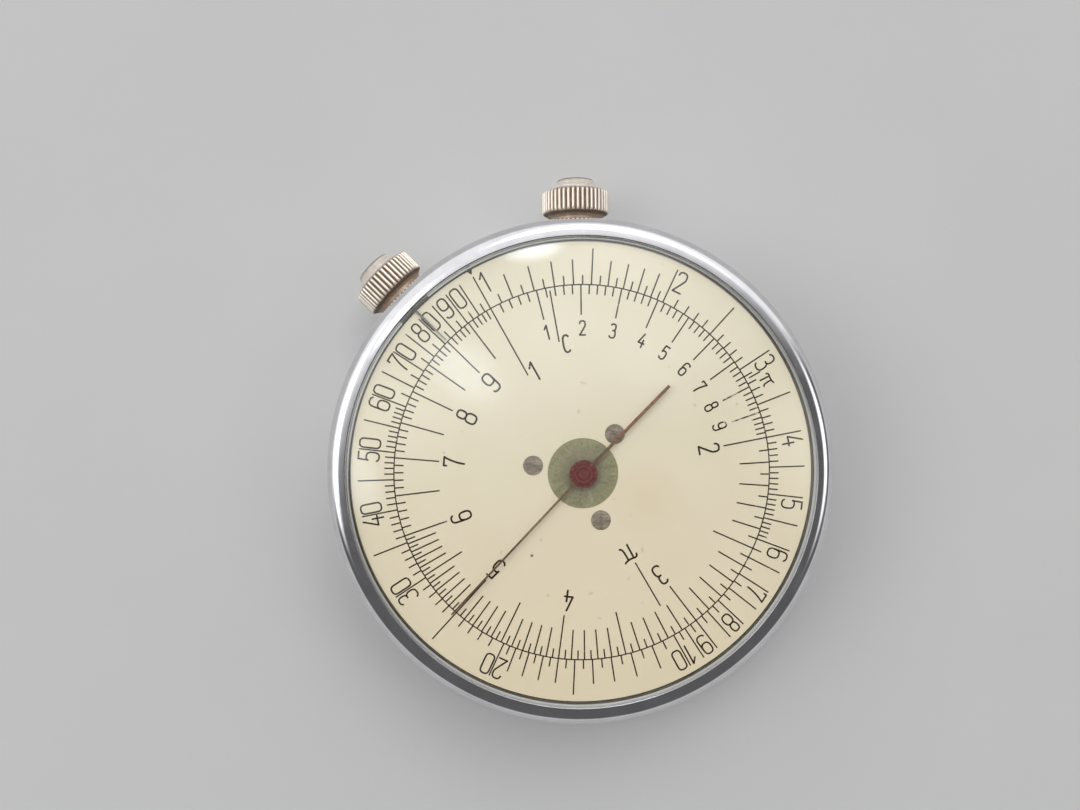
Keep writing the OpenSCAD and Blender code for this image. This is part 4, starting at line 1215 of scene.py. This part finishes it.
# Knobs as (name, angle, look and slot of the dot)
KNOBS = (("hands", 0, RED, "red_enamel"), ("dial", 45, BLACK, "black_enamel"))
for which, angle, enamelled, slot in KNOBS:
    body = f"{which}_crown"
    place = along_stem(angle)
    knob_node, cap_node, dot_node = [f"{which}_{part}" for part in ("knob", "knob_cap", "knob_dot")]
    piece(f"{which}_knurled_knob", knob_mesh(knob_node), NICKEL, body, knob_node, place)
    cap = lathe(cap_node, cap_outline(), columns=96)
    piece(f"{which}_turned_cap", cap, TURNED_NICKEL, body, cap_node, place)
    dot = lathe(dot_node, dot_outline(), columns=64)
    piece(f"{which}_enamel_dot", dot, enamelled, body, dot_node, place)


# CAD pieces that stay as they are, with their finishes

CARRIED = {
    LACQUER: ["fixed_index"],
    BRASS: [
        "main_plate", "center_tube", "rear_dial_pillars", "dial_stem_tube", "hands_stem_tube",
        "dial_wheel", "hands_wheel",
    ],
    STEEL: [
        "plate_screws", "dial_friction_washer", "hands_friction_washer",
        "dial_stem", "dial_pinion", "hands_stem", "hands_pinion",
    ],
    CRIMSON: ["center_arbor"],
}
for look, nodes in CARRIED.items():
    for node in nodes:
        mesh = frame["nodes"][node].data
        mesh.materials.clear()
        mesh.materials.append(look)


# Studio

# Lengths in metres, lamp powers in watts
FLOOR_HALF = 3.0
FLOOR_COLOUR = (0.56, 0.555, 0.55)
FLOOR_SHADE = 0.97
ROOM_LOW = 0.12
ROOM_HIGH = 1.1
ROOM_BRIGHT_SIDE = (-0.30, 0.95, 0.10)
BRIGHT_BAND = (-0.03, 0.25)
ROOM_COLOUR = (0.99, 1.0, 1.01, 1)
ROOM_HORIZON = 0.6
HORIZON_BAND = (0.2, 0.4)
LAMP_FADE = (0.1, 0.5)
WHITE = (1, 1, 1)
SKYLIGHT = (0.82, 0.96, 1.12)
# Lamps as (name, place, size, power, colour)
LAMPS = (
    ("key_lamp", (0.10, 0.36, 0.48), (0.50, 0.50), 2.46, WHITE),
    ("side_lamp", (-0.38, 0.02, 0.42), (0.50, 0.50), 2.04, WHITE),
    ("fill_lamp", (0.36, -0.02, 0.40), (0.36, 0.36), 0.74, WHITE),
    ("window_lamp", (-0.016, 0.198, 0.483), (0.10, 0.05), 0.11, SKYLIGHT),
    ("haze_lamp", (-0.09, 0.06, 0.505), (0.08, 0.14), 0.055, SKYLIGHT),
    ("left_haze_lamp", (-0.20, -0.057, 0.476), (0.11, 0.06), 0.032, SKYLIGHT),
)


def floor():
    look = Look("pale_floor", {"Roughness": 0.85})
    grain = look.noise(0.03, 4, 0.6)
    shaded = tuple(c * FLOOR_SHADE for c in FLOOR_COLOUR)
    look.colour(look.ramp(grain, (0.3, shaded), (0.7, FLOOR_COLOUR)))
    mesh = bpy.data.meshes.new("floor")
    h = FLOOR_HALF
    mesh.from_pydata([(-h, -h, 0), (h, -h, 0), (h, h, 0), (-h, h, 0)], [], [(0, 1, 2, 3)])
    mesh.materials.append(look.material)
    add_object("floor", mesh)


def panel(name, place, size, power, colour):
    """Soft lamp that faces the rule and fades towards its edges."""
    lamp = bpy.data.lights.new(name, "AREA")
    lamp.shape = "RECTANGLE"
    lamp.size, lamp.size_y = size
    lamp.energy = power
    lamp.color = colour
    lamp.use_nodes = True
    tree = lamp.node_tree
    spot = tree.nodes.new("ShaderNodeNewGeometry")
    middle = tree.nodes.new("ShaderNodeVectorMath")
    middle.operation = "DISTANCE"
    middle.inputs[1].default_value = (0.5, 0.5, 0)
    tree.links.new(spot.outputs["Parametric"], middle.inputs[0])
    fade = map_range(tree, middle.outputs["Value"], LAMP_FADE, (1.0, 0.0), "SMOOTHSTEP")
    tree.links.new(fade, tree.nodes["Emission"].inputs["Strength"])
    obj = add_object(name, lamp)
    obj.location = place
    obj.rotation_euler = (-Vector(place)).to_track_quat("-Z", "Y").to_euler()
    obj.visible_camera = False


def world():
    """Room with a broad soft bright side overhead and an even band round the horizon."""
    scene = bpy.context.scene
    scene.world = bpy.data.worlds.new("studio")
    scene.world.use_nodes = True
    tree = scene.world.node_tree
    place = tree.nodes.new("ShaderNodeTexCoord")
    side = tree.nodes.new("ShaderNodeVectorMath")
    side.operation = "DOT_PRODUCT"
    side.inputs[1].default_value = ROOM_BRIGHT_SIDE
    tree.links.new(place.outputs["Generated"], side.inputs[0])
    level = map_range(tree, side.outputs["Value"], BRIGHT_BAND, (ROOM_LOW, ROOM_HIGH), "SMOOTHSTEP")
    height = tree.nodes.new("ShaderNodeSeparateXYZ")
    tree.links.new(place.outputs["Generated"], height.inputs[0])
    rise = map_range(tree, height.outputs["Z"], HORIZON_BAND, (ROOM_HORIZON, level), "SMOOTHSTEP")
    tree.links.new(rise, tree.nodes["Background"].inputs["Strength"])
    tree.nodes["Background"].inputs["Color"].default_value = ROOM_COLOUR


floor()
world()
for lamp in LAMPS:
    panel(*lamp)


# Camera, at the photograph's viewing angle; places and lens in millimetres, roll in degrees

CAMERA_PLACE = (-7.267, 9.806, 100.315)
CAMERA_AIM = (-4.131, 6.748, 12.85)
CAMERA_ROLL = 0.664
LENS = 29.87
CLIP_START = 0.001


def camera():
    data = bpy.data.cameras.new("camera")
    data.lens = LENS
    data.clip_start = CLIP_START
    obj = add_object("camera", data)
    back = (Vector(CAMERA_PLACE) - Vector(CAMERA_AIM)).normalized()
    right = Vector((0, 1, 0)).cross(back).normalized()
    up = back.cross(right)
    turn = Matrix((right, up, back)).transposed().to_4x4()
    roll = Matrix.Rotation(math.radians(-CAMERA_ROLL), 4, "Z")
    obj.matrix_world = Matrix.Translation(Vector(CAMERA_PLACE) * MM) @ turn @ roll
    bpy.context.scene.camera = obj


camera()
bpy.context.scene.view_settings.view_transform = "Standard"
